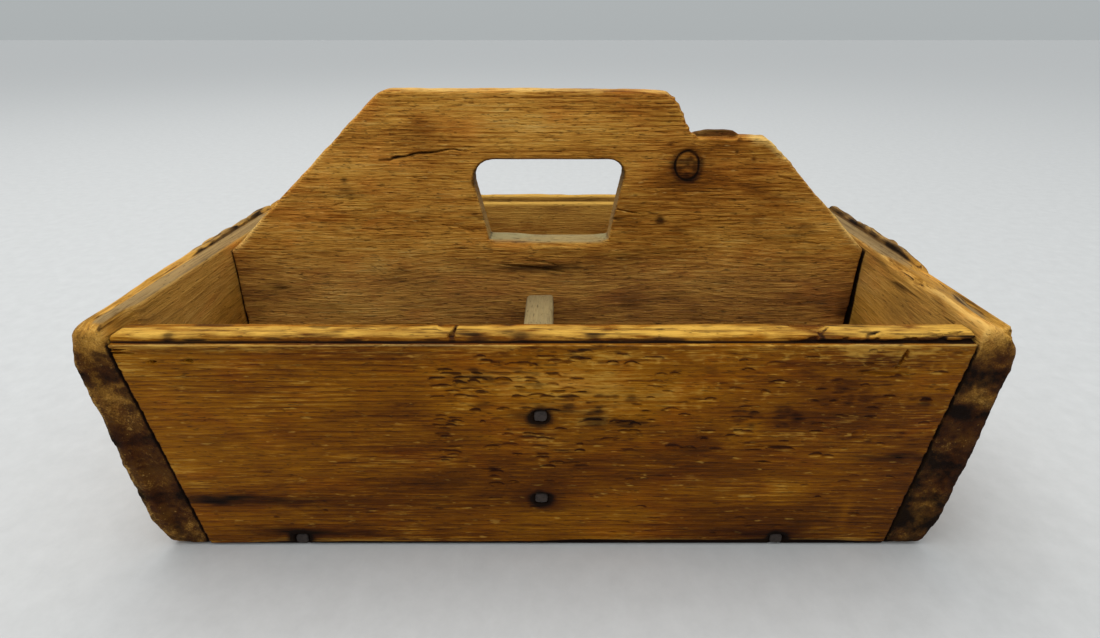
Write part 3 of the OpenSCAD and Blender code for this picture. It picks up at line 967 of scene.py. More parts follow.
class Graph:
    """A node material under construction. The grain of a wooden one runs along the axis 0, 1 or 2."""

    def __init__(self, name, axis=0):
        self.axis = axis
        self.material = bpy.data.materials.new(name)
        self.material.use_nodes = True
        self.tree = self.material.node_tree
        self.inputs = self.tree.nodes["Principled BSDF"].inputs

    def add(self, kind, inputs=(), out=0, **settings):
        """A new node's output. Inputs are values or other nodes' outputs."""
        node = self.tree.nodes.new("ShaderNode" + kind)
        for key, value in settings.items():
            setattr(node, key, value)
        for key, value in dict(inputs).items():
            self.set(node.inputs[key], value)
        return node.outputs[out]

    def set(self, socket, value):
        if isinstance(value, bpy.types.NodeSocket):
            self.tree.links.new(value, socket)
        else:
            socket.default_value = value

    def math(self, operation, a, b=0.0, c=0.0):
        return self.add("Math", {0: a, 1: b, 2: c}, operation=operation)

    def multiply(self, a, b):
        return self.math("MULTIPLY", a, b)

    def plus(self, total, part, share, middle=0.5):
        """total + (part - middle) * share."""
        if middle:
            part = self.math("SUBTRACT", part, middle)
        return self.math("MULTIPLY_ADD", part, share, total)

    def between(self, value, low, high, to_low=0.0, to_high=1.0):
        return self.add("MapRange", {"Value": value, "From Min": low, "From Max": high,
                                     "To Min": to_low, "To Max": to_high})

    def mix(self, amount, a, b, blend="MIX"):
        return self.add("Mix", {0: amount, 6: a, 7: b}, out=2, data_type="RGBA", blend_type=blend)

    def over(self, base, top, mask, low, high, most=1.0):
        """The colour top over base, from none where the mask is low to most where it is high."""
        return self.mix(self.between(mask, low, high, 0.0, most), base, top)

    def noise(self, vector, scale, detail, roughness, distortion=0.0):
        return self.add("TexNoise", {"Vector": vector, "Scale": scale, "Detail": detail,
                                     "Roughness": roughness, "Distortion": distortion})

    def grain(self, along, across, detail, roughness, distortion=0.0):
        """Noise stretched along the grain, with so many lumps per metre along and across it."""
        scale = [along if n == self.axis else across for n in range(3)]
        place = self.add("VectorMath", {0: self.add("TexCoord", out=3), 1: scale}, operation="MULTIPLY")
        return self.noise(place, 1, detail, roughness, distortion)

    def value(self, name):
        """What give() stored at the mesh's points."""
        return self.add("Attribute", out=2, attribute_name=name)

    def finish(self, base, rough, height, strength, distance):
        """Sets colour, roughness and bump, and gives the material back."""
        bump = self.add("Bump", {"Strength": strength, "Distance": distance, "Height": height})
        self.set(self.inputs["Base Color"], base)
        self.set(self.inputs["Roughness"], rough)
        self.set(self.inputs["Normal"], bump)
        return self.material


def colour(red, green, blue):
    """A display colour, 0 to 255, as the shader's linear one."""
    def linear(c):
        c = c / 255
        return c / 12.92 if c <= 0.04045 else ((c + 0.055) / 1.055) ** 2.4
    return (linear(red), linear(green), linear(blue), 1)


def ring_lines(g, fibre, streak, blotch):
    """Growth rings: a slow rise to a dark line, then a sharp fall."""
    wander = g.plus(g.value("ring"), streak, 0.5, 0)
    phase = g.math("FRACT", g.plus(wander, fibre, 0.14, 0))
    rise = g.math("POWER", phase, 2.6)
    fade = g.between(blotch, 0.3, 0.6, 0.35, 1.0)
    line = g.multiply(rise, g.between(phase, 0.93, 1.0, 1.0, 0.0))
    return g.multiply(line, g.multiply(fade, g.value("rings")))


def wax_and_dashes(g, base, deep, dash, rough_grain):
    """Patches of redder and of greener wax, and fine dark dashes."""
    hue = g.grain(22, 46, 4, 0.6, 0.4)
    base = g.over(base, g.mix(1.0, base, colour(255, 196, 150), "MULTIPLY"), hue, 0.52, 0.68, 0.30)
    base = g.over(base, g.mix(1.0, base, colour(222, 232, 190), "MULTIPLY"), hue, 0.46, 0.32, 0.30)
    return g.over(base, deep, dash, 0.58, 0.72, 0.55 * rough_grain)


def wear_and_dirt(g, base, worn, dusty, fibre, streak, hair, blotch):
    """Worn, dusty and dirty places, each with an edge broken up by the grain. The wear values also carry
    painted highlights and painted light, and the dirt values painted shade and painted shadow.
    """
    wear = g.plus(g.plus(g.value("wear"), fibre, 1.6), blotch, 1.4)
    base = g.over(base, worn, wear, 0.2, 1.0, 0.92)
    base = g.over(base, dusty, g.value("dust"), 0.0, 1.0, 0.9)
    # dirt, together with painted shade and painted shadow, darkens the wood
    grime_and_shade = g.plus(g.value("dirt_and_shade"), g.math("ADD", streak, hair), 0.8, 1.0)
    base = g.over(base, colour(50, 18, 8), grime_and_shade, 0.08, 0.55, 0.68)
    return g.over(base, colour(16, 10, 7), grime_and_shade, 0.42, 1.05, 0.94)


def wood(name, axis, early, late, deep, worn, dusty, rings=0.8, gloss=0.5, fibrous=1.0, rough_grain=1.0):
    """Aged waxed pine, from its deep colour over late and early wood to the worn one."""
    g = Graph(name, axis)
    fibre = g.grain(50, 900, 4, 0.7)
    hair = g.grain(34, 1300, 2, 0.6)
    streak = g.grain(8, 190, 4, 0.65, 0.5)
    blotch = g.grain(14, 40, 5, 0.65, 0.8)
    cloud = g.grain(5, 14, 4, 0.6)
    speck = g.grain(300, 1500, 2, 0.6)
    nick = g.grain(110, 420, 2, 0.5)
    dash = g.grain(120, 640, 3, 0.6)
    pore = g.between(g.grain(170, 950, 1, 0.5), 0.66, 0.74, 0.0, 0.5)
    lines = ring_lines(g, fibre, streak, blotch)
    body = g.value("tone")
    for part, share in ((cloud, 2.8), (blotch, 1.8), (streak, 1.4 * fibrous), (fibre, 2.6 * fibrous),
                        (hair, 1.6 * fibrous)):
        body = g.plus(body, part, share)
    body = g.plus(body, g.multiply(lines, rings), -1.3, 0)
    base = g.over(late, early, body, 0.0, 1.0)
    base = g.over(base, deep, body, 0.1, -1.0)
    base = g.over(base, worn, body, 0.9, 2.0, 0.8)
    base = g.over(base, worn, nick, 0.34, 0.25, 0.4)
    base = wax_and_dashes(g, base, deep, dash, rough_grain)
    base = wear_and_dirt(g, base, worn, dusty, fibre, streak, hair, blotch)
    base = g.mix(pore, base, colour(34, 16, 6))
    rough = g.between(fibre, 0.3, 0.7, 0.72 - gloss * 0.4, 0.8 - gloss * 0.3)
    dull = g.multiply(g.math("MAXIMUM", g.value("dirt_and_shade"), g.value("dust")), 0.2)
    height = g.plus(fibre, lines, 0.4, 0)
    for part, share in ((speck, 0.45), (streak, 0.8), (pore, -0.9), (dash, -0.8)):
        height = g.plus(height, part, share, 0)
    g.inputs["Specular IOR Level"].default_value = 0.06
    return g.finish(base, g.math("ADD", rough, dull), height, 0.9 * rough_grain, 0.001)


def iron(name, base, rust, metallic, rough):
    """Old hammered metal."""
    g = Graph(name)
    position = g.add("TexCoord", out=3)
    lumps = g.noise(position, 420, 4, 0.6)
    fine = g.noise(position, 1900, 3, 0.6)
    g.inputs["Metallic"].default_value = metallic
    rough = g.between(fine, 0.3, 0.7, rough - 0.1, rough + 0.12)
    return g.finish(g.over(base, rust, lumps, 0.42, 0.66), rough, g.plus(lumps, fine, 0.4, 0), 0.6, 0.0006)


BOARD_WOOD = wood("board_wood", 0, colour(160, 100, 9), colour(108, 58, 4), colour(48, 21, 3),
                  colour(222, 172, 74), colour(140, 118, 76), 0.8, 0.5, 0.85)
END_WOOD = wood("end_wood", 1, colour(198, 144, 58), colour(94, 58, 16), colour(50, 29, 8),
                colour(222, 174, 92), colour(140, 120, 84), 0.3, 0.3, 0.5, 0.6)
HANDLE_WOOD = wood("handle_wood", 0, colour(222, 160, 66), colour(158, 96, 26), colour(66, 34, 8),
                   colour(240, 194, 108), colour(168, 156, 112), 0.5, 0.5, 1.25, 1.3)
INNER_WOOD = wood("inner_wood", 1, colour(176, 140, 78), colour(128, 94, 46), colour(56, 36, 16),
                  colour(196, 166, 110), colour(156, 142, 104), 0.4, 0.15, 0.7)
NAIL_IRON = iron("nail_iron", colour(54, 42, 36), colour(34, 24, 18), 0.1, 0.7)
BRAD_STEEL = iron("brad_steel", colour(196, 178, 150), colour(150, 128, 100), 0.6, 0.42)

# --------------------------------------------------------------------------------- colour of each board


# Each tint gives what the wood materials read at a board's vertices p: which growth ring they lie in and
# how strongly the rings show, their wear, dirt and dust, from 0 to about 1, and the tone of the bare wood.
# The wear values also hold painted highlights and painted light, the dirt values painted shade and painted
# shadow, and the tone of some faces painted light.


def ring_field(p, axis, pith, pitch, sway):
    """Growth rings round a pith that runs along the axis: their number at each point."""
    across = [n for n in range(3) if n != axis]
    away = np.hypot(p[:, across[0]] - pith[0], p[:, across[1]] - pith[1])
    size = np.full(3, 60.0)
    size[axis] = 260
    return (away + sway * noise(p, size, 80) + sway * 0.3 * noise(p, size / 4, 81)) / pitch


def spot(u, v, centre_u, centre_v, wide, high, strength):
    """A soft stain."""
    return strength * np.exp(-(((u - centre_u) / wide) ** 2) - ((v - centre_v) / high) ** 2)


# Stains of the front face: X, Z, half width, half height, strength
FRONT_STAINS = [
    (-205, 41, 38, 4.5, 0.62), (-150, 37, 70, 5, 0.42), (-206, 34, 14, 8, 0.35), (-165, 12, 26, 5, 0.55),
    (-122, 10, 34, 4, 0.50), (-40, 42, 26, 6, 0.26), (-18, 106, 12, 4, 0.26), (212, 74, 28, 4, 0.50),
    (170, 60, 60, 12, 0.16), (28.5, 104, 8, 8, 0.8), (146, 102, 4.5, 5.5, 0.50), (13, 109, 10, 2.2, 0.45),
    (-47, 130, 13, 9, 0.22), (-57, 99, 7, 4, 0.36), (-57, 84, 5, 10, 0.22), (48, 99, 15, 4, 0.50),
    (-37, 112, 5, 6, 0.4), (130, 11, 40, 6, 0.42), (96, 30, 30, 9, 0.16), (-212, 150, 26, 2.6, 0.22),
    (205, 128, 20, 3, 0.24), (168, 125, 4, 4, 0.4), (199, 132, 9, 3, 0.30), (140, 80, 12, 3, 0.40),
    (222, 60, 10, 24, 0.25), (120, 112, 60, 10, 0.12), (219, 115, 6, 5, 0.30), (66, 60, 40, 8, 0.10),
    (-5, 60, 22, 30, 0.08),
]
# Lighter (above 0) and darker patches of the front face, in the same form
FRONT_PATCHES = [
    (190, 60, 60, 50, -0.16), (196, 132, 60, 18, -0.2), (-170, 130, 60, 24, -0.13),
    (170, 128, 70, 24, -0.12), (150, 30, 60, 22, -0.16), (-130, 24, 80, 20, 0.14), (30, 130, 60, 18, 0.16),
    (-46, 116, 5, 7, 0.45), (-60, 128, 3, 12, 0.2), (205, 125, 26, 8, 0.35), (122, 98, 5, 10, 0.55),
    (144, 45, 8, 12, 0.45), (158, 50, 7, 7, 0.35), (188, 28, 3.5, 14, 0.45), (172, 14, 6, 8, 0.3),
    (0, 134, 50, 14, 0.45), (90, 140, 50, 8, 0.2), (90, 60, 60, 24, -0.28), (120, 20, 70, 14, -0.3),
    (-10, 60, 50, 22, -0.22), (215, 40, 22, 30, -0.25), (-150, 132, 60, 16, 0.10), (-180, 95, 50, 14, 0.10),
    (112, 84, 6, 5, 0.4), (210, 12, 20, 8, 0.2), (-70, 60, 40, 20, -0.1),
]


def bead_wear(p):
    """Where the bead is, and the bright wood on it, brightest along its crown."""
    x, y, z = p.T
    bead = ramp(z, FRONT_LIP_Z + 0.4, FRONT_LIP_Z + 1.2)
    crown = ramp(z, FRONT_LIP_Z + 1.4, FRONT_TOP - 0.5) * fall(np.abs(y + 133 - 0.1 * x / 20), 5, 9)
    mottle = 0.6 + 0.35 * noise(p, (26, 8, 8), 90) + 0.35 * noise(p, (9, 2.6, 2.6), 89)
    return bead, bead * (0.12 + crown * mottle)


def bead_smudges_and_shade(p, bead):
    """Dark smudges and hair lines along the bead, its splits and what has split off, and painted shade on
    the bead's lower part.
    """
    x, y, z = p.T
    smudge = np.maximum(noise(p, (16, 3, 2.2), 87) - 0.45, 0) * 1.3 * bead
    smudge += bead * 0.5 * ramp(noise(p, (22, 1.7, 1.3), 79), 0.42, 0.7)
    # painted shade on the bead's lower part, just above the lip
    smudge = smudge + bead * 0.16 * fall(z, FRONT_LIP_Z + 1, FRONT_LIP_Z + 3.2) + 0.3 * bead_split(p)
    for path, width, _ in BEAD_SPLITS:
        smudge += 0.5 * bead * ramp(-line(x, y, path)[0], -width * 0.6 - 0.3, -width * 0.3)
    for spot_x, long, strength in ((-210, 4, 0.6), (-14, 6, 0.5), (26, 6, 0.3), (155, 9, 0.35)):
        smudge += bead * strength * bell(x - spot_x, long) * ramp(-y, 130, 136)
    return smudge


def front_wear_and_highlights(p, face, lip_line, slope):
    """Worn wood below the bead: its lip, the face's top and foot; and painted highlights on the dents'
    lower slopes and where the torn grain is shallow.
    """
    x, z = p[:, 0], p[:, 2]
    wear = 0.45 * lip_line + 0.34 * ramp(z, 136, 153) * face * (0.6 + 0.8 * noise(p, (40, 10, 8), 91))
    wear += 0.3 * fall(z, 4, 9) * face * ramp(np.abs(x), 20, 60)
    whole = fall(torn(p), 0, 0.2) * ramp(x, -60, 0) * ramp(z, 70, 100)
    # painted highlights: slope on the dents' lower slopes, whole where the torn grain is shallow or absent
    return wear + 0.32 * slope * face + 0.35 * face * whole


def front_dirt_and_shade(board, p, face, below, painted_dent_shadow):
    """Dirt and painted shade of the front face: painted shadow along its dents' upper edges, painted shade
    in its inner corners and in the corner above the lip, and the undercut below its foot painted near black
    as its shadow; dirt in its joints and torn grain, round its nails and in stains.
    """
    x, y, z = p.T
    joint = end_in(z) + left_lean(x, z) - np.abs(x)
    wall = ramp(z, FRONT_LIP_Z - 0.3, FRONT_LIP_Z) * fall(z, FRONT_LIP_Z + 0.5, FRONT_LIP_Z + 1.6)
    wall = wall * ramp(-y, 129, 132) * ramp(y, -139.2, -138.6)
    # painted shadow along the dents' upper edges, painted shade in the corner above the lip and in inner
    # corners
    dirt_and_shade = 0.6 * painted_dent_shadow * face + 0.8 * wall + 0.4 * ramp(-board.bend(2.4), 0.05, 0.3)
    dirt_and_shade += 0.42 * ramp(torn(p) * face, 0.28, 0.7)
    dirt_and_shade += 1.15 * fall(joint, 0.5, 1.5)
    # the undercut below the foot is painted near black: a painted shadow
    dirt_and_shade += 2.0 * ramp(front_foot(p) - z, -0.7, 0.2) * fall(below, 6, 9)
    for nail_x, nail_z in PARTITION_NAILS + BOTTOM_NAILS:
        far = np.hypot(x - nail_x, z - nail_z) + 1.2 * noise(p, (5, 9, 5), 83)
        smear = np.hypot((x - nail_x) * 0.5, z - nail_z)
        dirt_and_shade = dirt_and_shade + fall(below, 3, 5) * 1.2 * bell(far, 7, 4) + face * 0.42 * bell(smear, 9)
    for stain in FRONT_STAINS:
        dirt_and_shade += face * spot(x, z, *stain) * (1 + 0.5 * noise(p, (9, 9, 2.5), 88))
    return dirt_and_shade


def tint_front(board, p):
    x, y, z = p.T
    below = (y + side_out(z)) * math.cos(SIDE_LEAN)
    face = fall(below, 0.8, 2.5)
    # the dents' painted shadow, and in slope their painted highlight
    _, painted_dent_shadow, slope = dents(p)
    bead, worn = bead_wear(p)
    lip_line = ramp(z, FRONT_LIP_Z - 1.0, FRONT_LIP_Z - 0.4) * face * fall(below, 0.7, 1.4)
    wear = worn + front_wear_and_highlights(p, face, lip_line, slope)
    # lighter towards the top and the left: partly the wood's own tone, partly painted light from the upper
    # left; darker under the dents' upper edges: painted shadow
    tone = 0.38 + 0.26 * ramp(z, 80, 150) + 0.12 * ramp(-x, -150, 200) - 0.8 * painted_dent_shadow * face
    for patch in FRONT_PATCHES:
        tone += face * spot(x, z, *patch)
    dirt_and_shade = front_dirt_and_shade(board, p, face, below, painted_dent_shadow) + bead_smudges_and_shade(p, bead)
    inner = ramp(below, 8, 14) * fall(z, 148, 154)
    rings = 0.4 + 0.5 * ramp(z, 80, 112) * ramp(-x, 10, 90) + 0.3 * fall(z, 20, 60)
    return {"ring": ring_field(p, 0, (40, -190), 3.6, 5), "rings": rings, "tone": tone,
            "wear": wear * (1 - 0.8 * bead_split(p)), "dirt_and_shade": dirt_and_shade + 0.10 * noise(p, (50, 20, 9), 92),
            "dust": 0.45 * inner + 0.7 * lip_line * ramp(z, FRONT_LIP_Z - 0.9, FRONT_LIP_Z - 0.3)}


def tint_back(board, p):
    x, y, z = p.T
    inner = ramp(side_out(z) - y, 8, 14)
    crest = ramp(z, BACK_LIP_Z + 2.5, BACK_LIP_Z + 5)
    lip = ramp(z, BACK_LIP_Z - 4, BACK_LIP_Z - 0.5) * inner
    wall = ramp(z, BACK_LIP_Z - 0.2, BACK_LIP_Z + 0.8) * fall(z, BACK_LIP_Z + 3, BACK_LIP_Z + 5.5) * inner
    wear = 0.45 * crest + 0.4 * lip + 0.4 * ramp(board.bend(3.0), 0.04, 0.16)
    # the inner face is lighter, most near the top: painted light where the handle board shades it
    wear += inner * (0.28 + 0.5 * ramp(z, 132, 156)) * (1 + 0.4 * noise(p, (30, 20, 12), 104))
    # painted shade on the wall above the lip and in inner corners
    dirt_and_shade = 0.55 * wall + 0.3 * ramp(-board.bend(2.0), 0.05, 0.3) + 0.12 * noise(p, (60, 20, 14), 93)
    dirt_and_shade = dirt_and_shade + 0.5 * fall(end_in(z) - np.abs(x), 0.6, 4) + 0.3 * fall(z, 0, 12)
    # the inner face's tone is raised as well: painted light
    return {"ring": ring_field(p, 0, (200, -150), 4.6, 6), "rings": np.full(len(p), 0.6),
            "tone": 0.5 + 0.8 * inner, "wear": wear * ramp(z, 0, 6), "dirt_and_shade": dirt_and_shade + 0.05 - 0.05 * inner,
            "dust": 0.3 * inner}


# Dark (above 0) and light bands across an end board's front and rear edges: height, half width, strength
LEFT_BANDS = ((150, 3, 0.25), (134, 9, 0.18), (86, 4, 0.42), (43, 6, 0.45), (104, 8, -0.22), (60, 9, -0.1))
RIGHT_BANDS = ((132, 10, 0.4), (107, 6, 0.55), (120, 4, -0.2), (92, 8, 0.05), (66, 11, 0.55), (24, 8, 0.4),
               (44, 8, 0.25), (8, 7, -0.2))


def end_top(side, p, depth):
    """Where an end board's step, and the riser behind it, are still there. The step is dusty and dirty; the
    riser gets painted shade.
    """
    y, z = p[:, 1], p[:, 2]
    step = ramp(z, STEP_Z - 1.4, STEP_Z - 0.4) * fall(z, STEP_Z + 0.3, STEP_Z + 1.2)
    step = step * fall(depth, STEP_W - 1.6, STEP_W - 0.4)
    riser = ramp(depth, STEP_W - 1.8, STEP_W - 0.4) * fall(depth, STEP_W + 0.5, STEP_W + 1.3)
    # the right end's step is broken away but for its rear half and a patch near the front
    lost = 0.75 * ramp(-y, 34, 62) * ramp(y, -110, -100) if side > 0 else 0
    riser = riser * (1 - lost) * ramp(z, STEP_Z - 1.2, STEP_Z - 0.2) * fall(z, RIDGE_Z - 2.2, RIDGE_Z - 0.6)
    return step, riser, lost


def end_wear(side, p, bend, arris, edge, nose, rim, grit):
    """Bright wood on an end board: its convex edges and inner arris, most on its nose."""
    wear = 0.4 * ramp(bend, 0.04, 0.2) + 0.4 * arris
    wear = wear * (0.8 + 0.6 * noise(p, (12, 26, 12), 94))
    wear = wear * (0.3 + 0.7 * nose) * (1 - 0.8 * edge * (1 - nose)) + 0.18 * nose * edge
    if side > 0:
        return wear + 0.3 * nose * ramp(-p[:, 1], 112, 124) + 0.5 * arris * ramp(-p[:, 1], 20, 50)
    # wear shows light on the outer arris of the left end's edge
    return wear + 0.45 * rim * (1 + grit * 2)


def edge_dirt(side, p, from_joint, grit, lumps):
    """Dirt of an end board's front and rear edges: bands, grit and the dark line of the joint."""
    z = p[:, 2]
    mottle = 0.30 + 0.20 * lumps
    for band_z, half, strength in LEFT_BANDS if side < 0 else RIGHT_BANDS:
        wavy = z - band_z + 3 * noise(p, (12, 30, 30), 96)
        mottle = mottle + strength * bell(wavy, half)
    joint = (0.2 * fall(from_joint, 1, 7) + ramp(-from_joint, -1.1, 0.1)) * fall(z, 150, 158)
    return mottle * fall(z, 140, 160) + joint + grit


def top_cracks(side, p, depth, not_edge, step):
    """Cracks and splinter lines along the worn top of an end board."""
    y, z = p[:, 1], p[:, 2]
    split = ramp(noise(p, (1.9, 34, 1.9), 109), 0.34, 0.66)
    split = split + 0.6 * ramp(noise(p, (1.3, 18, 1.3), 110), 0.4, 0.7)
    low_top = STEP_Z - 9 if side < 0 else STEP_Z - 18
    top = ramp(z, low_top, low_top + 7) * not_edge
    strength = 0.6 + 0.5 * (side > 0) * ramp(-y, 20, 50)
    lines = 0.5 * split * top * (1 - 0.6 * step) * strength
    if side > 0:
        seam = np.abs(depth - 13.5 - 2.4 * noise(p, (40, 20, 40), 111))
        lines = lines + 0.7 * fall(seam, 0.2, 0.8) * ramp(-y, 52, 64) * ramp(y, -124, -114) * top
    return lines


def tint_end(side):
    """Colouring of the left (-1) or right (1) end board."""

    def tint(board, p):
        x, y, z = p.T
        out = np.abs(x)
        depth = out - end_in(z)
        inner = fall(depth, 0.8, 2.5)
        outer = ramp(out - end_out(z), -2.5, -0.8)
        edge = ramp(np.abs(y) - side_out(z), -3.5, -1.2)
        rim = ramp(out - end_out(z), -3.4, -1.0) * edge
        nose = ramp(z, 142, 162)
        arris = ramp(z, STEP_Z - 4.5, STEP_Z - 1.5) * fall(depth, 1, 4)
        step, riser, lost = end_top(side, p, depth)
        lumps = fractal(p, (9, 12, 8), 95)
        grit = 0.32 * noise(p, (5, 9, 4), 105) + 0.22 * noise(p, (2.4, 6, 2.2), 106)
        bend = board.bend(3.0)
        wear = end_wear(side, p, bend, arris, edge, nose, rim, grit)
        from_joint = depth - left_lean(x, z) * ramp(-y, 90, 100)
        # painted shade in inner corners
        dirt_and_shade = 0.4 * ramp(-bend, 0.05, 0.3) + edge * edge_dirt(side, p, from_joint, grit, lumps)
        rough = np.maximum(grit + 0.2 * lumps, 0)
        dirt_and_shade += nose * (0.85 if side < 0 else 0.35) * rough * ramp(-y, 100, 112)
        if side > 0:
            dirt_and_shade += edge * (0.1 + 0.25 * fall(z, 20, 70)) * (1 - nose)
        dirt_and_shade = dirt_and_shade + outer * (0.18 + 0.24 * fractal(p, (40, 60, 12), 97)) + 0.3 * fall(z, 0, 12)
        # dark where the handle board touches
        touch = ramp(-np.abs(y), -HANDLE_Y - 0.6 * side, -HANDLE_Y + 1.2) * fall(depth, 5.5, 6.5)
        touch = touch * fall(z, STEP_Z - 8, STEP_Z - 4.5)
        # painted shade on the riser behind the step
        dirt_and_shade = dirt_and_shade + (0.5 + 0.3 * lumps) * riser + 1.1 * touch + 0.08 * noise(p, (20, 60, 16), 98)
        dirt_and_shade += top_cracks(side, p, depth, 1 - edge * (1 - nose), step)
        step = step * (1 - lost)
        if side > 0:
            patch = ramp(-y, 92, 104) * ramp(y, -126, -116) * ramp(depth, 4.5, 7) * fall(depth, 12, 15)
            step = np.maximum(step, patch * ramp(z, 148, 156))
        chunk = ramp(z, STEP_Z + 0.6, STEP_Z + 2) * ramp(y, -60, -20)
        dust = 0.85 * step + 0.12 * inner * (1 + noise(p, (30, 60, 40), 99)) + 0.55 * chunk
        tone = 0.75 - 0.75 * edge * (1 - nose) + 0.2 * noise(p, (40, 60, 60), 86)
        return {"ring": ring_field(p, 1, (side * 330, 60), 4.6, 5), "rings": 1 - edge,
                # the right end's inner face is lighter: painted light, as it faces the light on the left
                "tone": tone + (0.3 * inner if side > 0 else 0), "wear": wear * (1 - 0.6 * step),
                "dirt_and_shade": dirt_and_shade + 0.28 * chunk * (1 + lumps) + 0.22 * step, "dust": dust}

    return tint


# Stains and lighter or darker patches of the handle board, in the same form as the front's
HANDLE_STAINS = [
    (84, 185, 3.6, 3.6, 0.8), (-149.5, 215.4, 3, 3, 0.6), (137.3, 236.8, 1.6, 1.6, 0.7),
    (-149, 207, 5, 3, 0.25), (52, 186, 5, 3, 0.35), (150, 231, 1.8, 1.8, 0.5), (-84, 246, 16, 10, 0.10),
    (101.7, 227, 15, 15, 0.22), (106, 218, 9, 7, 0.2), (92, 222, 6, 12, 0.16), (-12, 147, 28, 3, 0.7),
    (40, 150, 40, 8, 0.2), (180, 200, 40, 10, 0.15), (-92, 252, 12, 16, 0.14), (150, 170, 60, 10, 0.14),
    (-110, 150, 60, 8, 0.10), (60, 200, 20, 20, 0.12),
]
HANDLE_PATCHES = [
    (0, 256, 80, 16, 0.30), (-60, 200, 90, 26, 0.12), (130, 195, 60, 30, -0.45), (88, 212, 24, 30, -0.3),
    (101.7, 227, 5, 6, 0.45), (0, 158, 90, 16, -0.25), (-92, 252, 11, 16, -0.4), (-75, 232, 26, 10, -0.25),
    (-180, 180, 40, 20, 0.12), (30, 168, 30, 8, 0.35), (-100, 175, 60, 14, 0.16),
]


def handle_wear(p, face, hole, rim):
    """Bright wood on the handle board's rim, its grip, the hand hole's edge and both slopes."""
    x, _, z = p.T
    joint = ramp(end_in(z) - np.abs(x), 2, 8)
    patchy = 0.6 + 0.7 * noise(p, (26, 12, 12), 85)
    wear = 0.5 * ramp(rim, -3.4, -0.8) * joint * ramp(z, 120, 160) * patchy
    wear += 0.35 * ramp(z, HANDLE_TOP - 5, HANDLE_TOP - 1.5) * patchy
    wear += 0.16 * ramp(hole, 2.5, 0.6) * face * patchy
    wear += 0.7 * ramp(x, 142, 152) * fall(x, 168, 188) * ramp(rim, -9, -3) * ramp(z, 222, 238)
    return wear + 0.45 * ramp(np.abs(x), 196, 228) * ramp(z, 150, 164) * ramp(rim, -8, -2)


def knot_dirt(p, k):
    """The dark ring round the knot, the halo outside it and the specks inside."""
    ring = (0.62 + 0.6 * noise(p, (5, 9, 5), 78)) * bell(k - 0.98, 0.08)
    halo = bell(k - 1.1, 0.28) * (0.36 + 0.26 * noise(p, (8, 9, 8), 107))
    return ring + halo + (0.2 + 0.3 * noise(p, (3, 9, 2), 112)) * fall(k, 0.6, 0.95)


def handle_dirt_and_shade(board, p, k, on, hole, in_hole, low):
    """Dirt and painted shade of the handle board: dirt of its knot, stains, joints, cracks and the broken
    shelf, painted shade in its inner corners, and dirt with painted shade along the hand hole's upper edge.
    """
    x, y, z = p.T
    dirt_and_shade = on * knot_dirt(p, k)
    for stain in HANDLE_STAINS:
        dirt_and_shade += on * spot(x, z, *stain)
    # dirt and painted shade along the hand hole's upper edge; painted shade in inner corners
    hole_rim_dirt_and_shade = fall(np.abs(hole - 0.4), 0.5, 1.8) * ramp(z, STEP_Z + 30, STEP_Z + 60)
    dirt_and_shade = dirt_and_shade + 0.08 * in_hole + 0.4 * ramp(-board.bend(3.0), 0.05, 0.3) + 0.55 * hole_rim_dirt_and_shade
    lip = ramp(x, 104, 109) * fall(x, 136, 142) * ramp(z, STEP_Z + 80, STEP_Z + 81.5) * ramp(y, -3, -1)
    end = handle_end(x, z)
    dirt_and_shade = dirt_and_shade + 0.62 * lip + 1.1 * ramp(end, -0.9, -0.2) + 0.08 * noise(p, (60, 20, 10), 102)
    dirt_and_shade += on * 0.22 * ramp(fractal(p, (19, 20, 4), 108), 0.3, 0.9) * fall(z, 190, 250)
    dirt_and_shade += 0.35 * on * ramp(end, -16, -1) * ramp(x, 0, 10) * fall(z, 110, 150)
    for path in (WIDE_CRACK, FINE_CRACK[:4]):
        dirt_and_shade += 0.5 * on * ramp(-line(x, z, path)[0], -1.5, -0.3)
    return dirt_and_shade + low * (0.06 + 0.14 * fractal(p, (30, 20, 5), 101))


def handle_rings(p, k):
    """Growth rings that swirl under the hand hole and part round the knot."""
    x, _, z = p.T
    swirl = 5 * np.sin(x / 26 + 0.8) * fall(z, 150, 178)
    part = bell(k - 0.6, 1.1) * (z - KNOT_Z) * 0.14
    return ring_field(p + np.outer(swirl, Z), 0, (70, 20), 3.3, 6) - part


def tint_handle(board, p):
    x, y, z = p.T
    below = y + HANDLE_Y
    face = fall(below, 0.6, 2.2)
    on = ramp(-below, -HANDLE_Y, -1)
    hole = polygon(HOLE_OUTLINE, x, z)
    in_hole = fall(hole, 0.3, 1.6) * ramp(-np.abs(y), -HANDLE_Y + 0.5, -HANDLE_Y + 2)
    k = knot_radius(x, z)
    low = fall(z, 130, 172)
    # lighter towards the left: painted light from the left
    tone = 0.5 + 0.10 * ramp(-x, -100, 200)
    for patch in HANDLE_PATCHES:
        tone += spot(x, z, *patch)
    sill = fall(hole, 3.2, 4.5) * ramp(y, -HANDLE_Y + 0.6, -HANDLE_Y + 4)
    sill = sill * fall(z, STEP_Z + 3, STEP_Z + 9) * fall(np.abs(x), 43, 47)
    rings = 0.45 + 0.55 * ramp(z, 228, 240) + 0.3 * fall(z, 150, 172)
    wear = handle_wear(p, face, hole, polygon(HANDLE_OUTLINE, x, z))
    return {"ring": handle_rings(p, k), "rings": rings * (1 - in_hole), "tone": tone,
            "wear": wear * (1 - in_hole), "dirt_and_shade": handle_dirt_and_shade(board, p, k, on, hole, in_hole, low),
            "dust": 0.4 * in_hole + 0.8 * sill + 0.15 * low}


